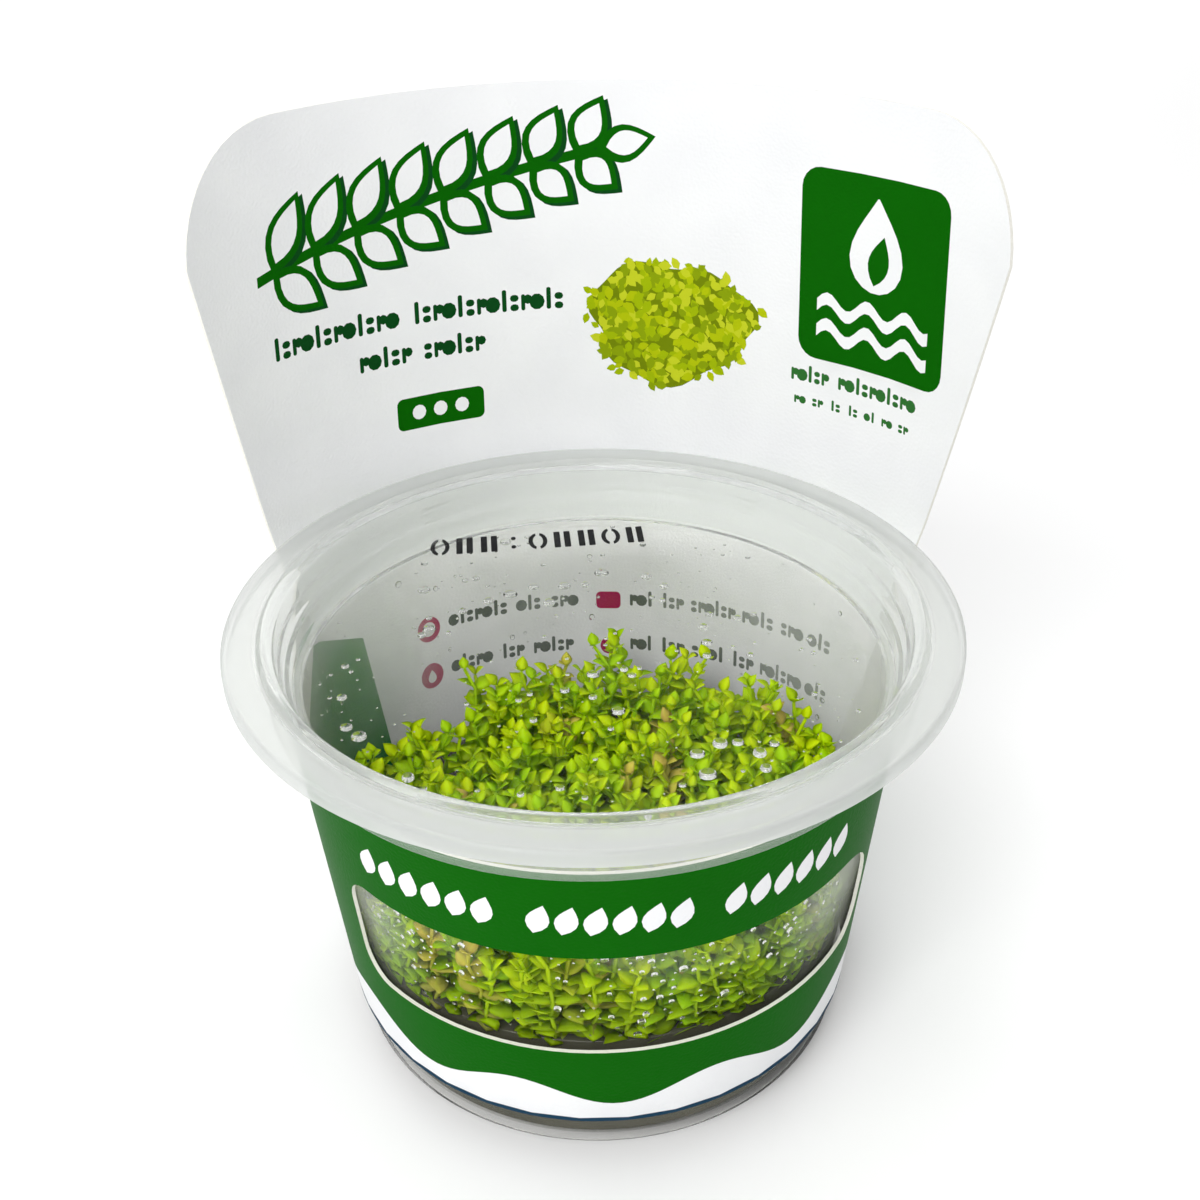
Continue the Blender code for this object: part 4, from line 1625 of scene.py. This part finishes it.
def drop_tree():
    inputs = {"Drop": "Object", "Spacing": "Float", "Small": "Float", "Large": "Float"}
    inputs |= {"Seed": "Int", "Material": "Material"}
    net = Growth("drops", inputs)
    scatter = {
        "Mesh": net.given("Ground"),
        "Distance Min": net.given("Spacing"),
        "Density Max": 1.0e6,
        "Density Factor": net.attribute("wet"),
        "Seed": net.given("Seed"),
    }
    poisson = {"distribute_method": "POISSON"}
    points = net.add("GeometryNodeDistributePointsOnFaces", poisson, scatter, "Points")
    luck = net.random(0.0, 1.0, 1)
    size = net.given("Small") + (net.given("Large") - net.given("Small")) * luck**4
    stretch = net.vector(size * net.random(0.85, 1.25, 2), size, size)
    sockets = {
        "Points": points,
        "Instance": net.add("GeometryNodeObjectInfo", None, {"Object": net.given("Drop")}, "Geometry"),
        "Rotation": points.beside("Rotation"),
        "Scale": stretch,
    }
    net.finish(net.add("GeometryNodeInstanceOnPoints", None, sockets))
    return net


def water_look():
    look = Look("water_drop")
    wobble = look.bump(look.noise(look.place(), 1.5), 0.1, 0.0003)
    sockets = {"Base Color": (1, 1, 1), "Roughness": 0.0, "IOR": 1.33, "Transmission Weight": 1.0}
    water = look.add("BsdfPrincipled", None, sockets | {"Normal": wobble})
    open_air = look.add("BsdfTransparent", None, {"Color": (0.97, 0.97, 0.97)})
    lamp_ray = look.add("LightPath", out="Is Shadow Ray")
    return look.finish(look.add("MixShader", None, {0: lamp_ray, 1: water, 2: open_air}))


def wet_surface(name, rows, columns, point, wet):
    """A grid over (row share, column share), with the wetness of each point."""
    grid = [(row / rows, column / columns) for row in range(rows + 1) for column in range(columns + 1)]
    faces = []
    for row in range(rows):
        for column in range(columns):
            start = row * (columns + 1) + column
            faces.append((start, start + 1, start + columns + 2, start + columns + 1))
    mesh = bpy.data.meshes.new(name)
    mesh.from_pydata([point(*shares) for shares in grid], [], faces)
    mesh.attributes.new("wet", "FLOAT", "POINT").data.foreach_set("value", [wet(*shares) for shares in grid])
    return mesh


def lid_point(row, column):
    reach, turn = (2 + (WELL_FLOOR_RADIUS - 4) * row) * MM, -math.tau * column
    return (reach * math.sin(turn), -reach * math.cos(turn), (WELL_FLOOR_Z - LID_SHEET) * MM)


def lid_wet(row, column):
    swirl = math.sin(9 * row + 3 * math.sin(math.tau * column)) * math.cos(math.tau * 3 * column)
    return 0.25 + 0.25 * swirl


WALL_Z = (22.5, 53.0)


def wall_point(row, column):
    z = WALL_Z[0] + (WALL_Z[1] - WALL_Z[0]) * row
    turn = math.tau * (column - 0.5)
    reach = (body_radius(z) - WALL) * MM
    return (reach * math.sin(turn), -reach * math.cos(turn), z * MM)


def wall_wet(row, column):
    turn = 360 * (column - 0.5)
    window = sum(math.exp(-(((turn - at) / 16) ** 2)) for at in (-42, 8, 48)) * min(1, 0.3 + row * 1.6)
    return min(1.0, 0.03 + 0.8 * window)


water_drop = water_look()
drop = make_drop()
drops = drop_tree()
WET_PLACES = {
    # name: (ground, spacing, smallest and largest radius in millimetres, slot)
    "lid_drops": (wet_surface("lid_wet", 20, 60, lid_point, lid_wet), 1.6, (0.14, 1.1), "lid_plastic"),
    "wall_drops": (wet_surface("wall_wet", 20, 180, wall_point, wall_wet), 1.0, (0.16, 0.6), "cup_plastic"),
}
for number, (name, (ground, spacing, (small, large), slot)) in enumerate(WET_PLACES.items()):
    settings = {"Drop": drop, "Spacing": spacing * MM, "Small": small * MM, "Large": large * MM}
    settings |= {"Seed": DROP_SEED + number, "Material": water_drop}
    settled = drops.grow(name, ground, settings)
    place_piece(name, settled, None)
    print(name, "has", len(settled.polygons), "faces")

# %% [markdown]
# Marks on the lid.
# A row of black stencil shapes is stamped on the lid: a thin layer of quick-drying ink on its floor,
# slightly slanted as a hand-held stamp leaves it.

# %% Stamp the lid
STAMP = ((-25.5, 28.2), (9.0, 31.4))
STAMP_STRETCH = 1.35
STAMP_SHAPES = "O I I : O I I O I"
INK_THICKNESS = 0.04
INK_LIFT = 0.005  # off the lid's floor


def stamp_arc(x, across, over, angles):
    """Points of a half ring round (x, 2)."""
    return [(x + across * math.cos(math.radians(a)), 2 + over * math.sin(math.radians(a))) for a in angles]


def stamp_shapes():
    """Outlines of the stamped shapes, in millimetres along and across the row."""
    length = math.dist(*STAMP)
    signs = STAMP_SHAPES.split()
    pitch = length / len(signs)
    shapes = []
    for index, sign in enumerate(signs):
        x = pitch * (index + 0.5)
        if sign == ":":
            shapes += [ring_shape(x, 1.0, 0.4, 10), ring_shape(x, 3.0, 0.4, 10)]
        elif sign == "I":
            shapes.append(rounded_box(x - 1.3, 0.2, 1.0, 3.7, 0.1, 1))
            shapes.append(rounded_box(x + 0.3, 0.2, 1.0, 3.7, 0.1, 1))
        else:
            for side in (-1, 1):
                outer = stamp_arc(x, side * 1.5, 1.9, range(-76, 77, 19))
                inner = stamp_arc(x, side * 0.8, 1.4, range(70, -71, -20))
                shapes.append(outer + inner)
    return shapes


def make_stamp():
    look = Look("stamp_ink")
    blot = look.noise(look.place(), 1.2, 3.0)
    colour = look.mix(blot, (0.004, 0.004, 0.005), (0.02, 0.02, 0.022))
    sockets = {"Base Color": colour, "Roughness": 0.5, "Specular IOR Level": 0.1}
    ink = look.finish(look.add("BsdfPrincipled", None, sockets))
    (x0, y0), (x1, y1) = STAMP
    slant = math.atan2(y1 - y0, x1 - x0)
    bm = bmesh.new()
    for shape in stamp_shapes():
        ring = []
        for u, v in along_path(shape, 5.0):
            x = x0 + u * math.cos(slant) - v * math.sin(slant)
            y = y0 + u * math.sin(slant) + v * math.cos(slant) * STAMP_STRETCH
            ring.append(bm.verts.new(Vector((x, y, WELL_FLOOR_Z + INK_LIFT)) * MM))
        face = bm.faces.new(ring)
        top = bmesh.ops.extrude_face_region(bm, geom=[face])["geom"]
        raised = [item for item in top if isinstance(item, bmesh.types.BMVert)]
        bmesh.ops.translate(bm, verts=raised, vec=(0, 0, INK_THICKNESS * MM))
    bmesh.ops.recalc_face_normals(bm, faces=bm.faces)
    mesh = bpy.data.meshes.new("lid_stamp")
    bm.to_mesh(mesh)
    bm.free()
    mesh.materials.append(ink)
    return place_piece("lid_stamp", mesh, None)


print("stamp has", len(make_stamp().data.polygons), "faces")
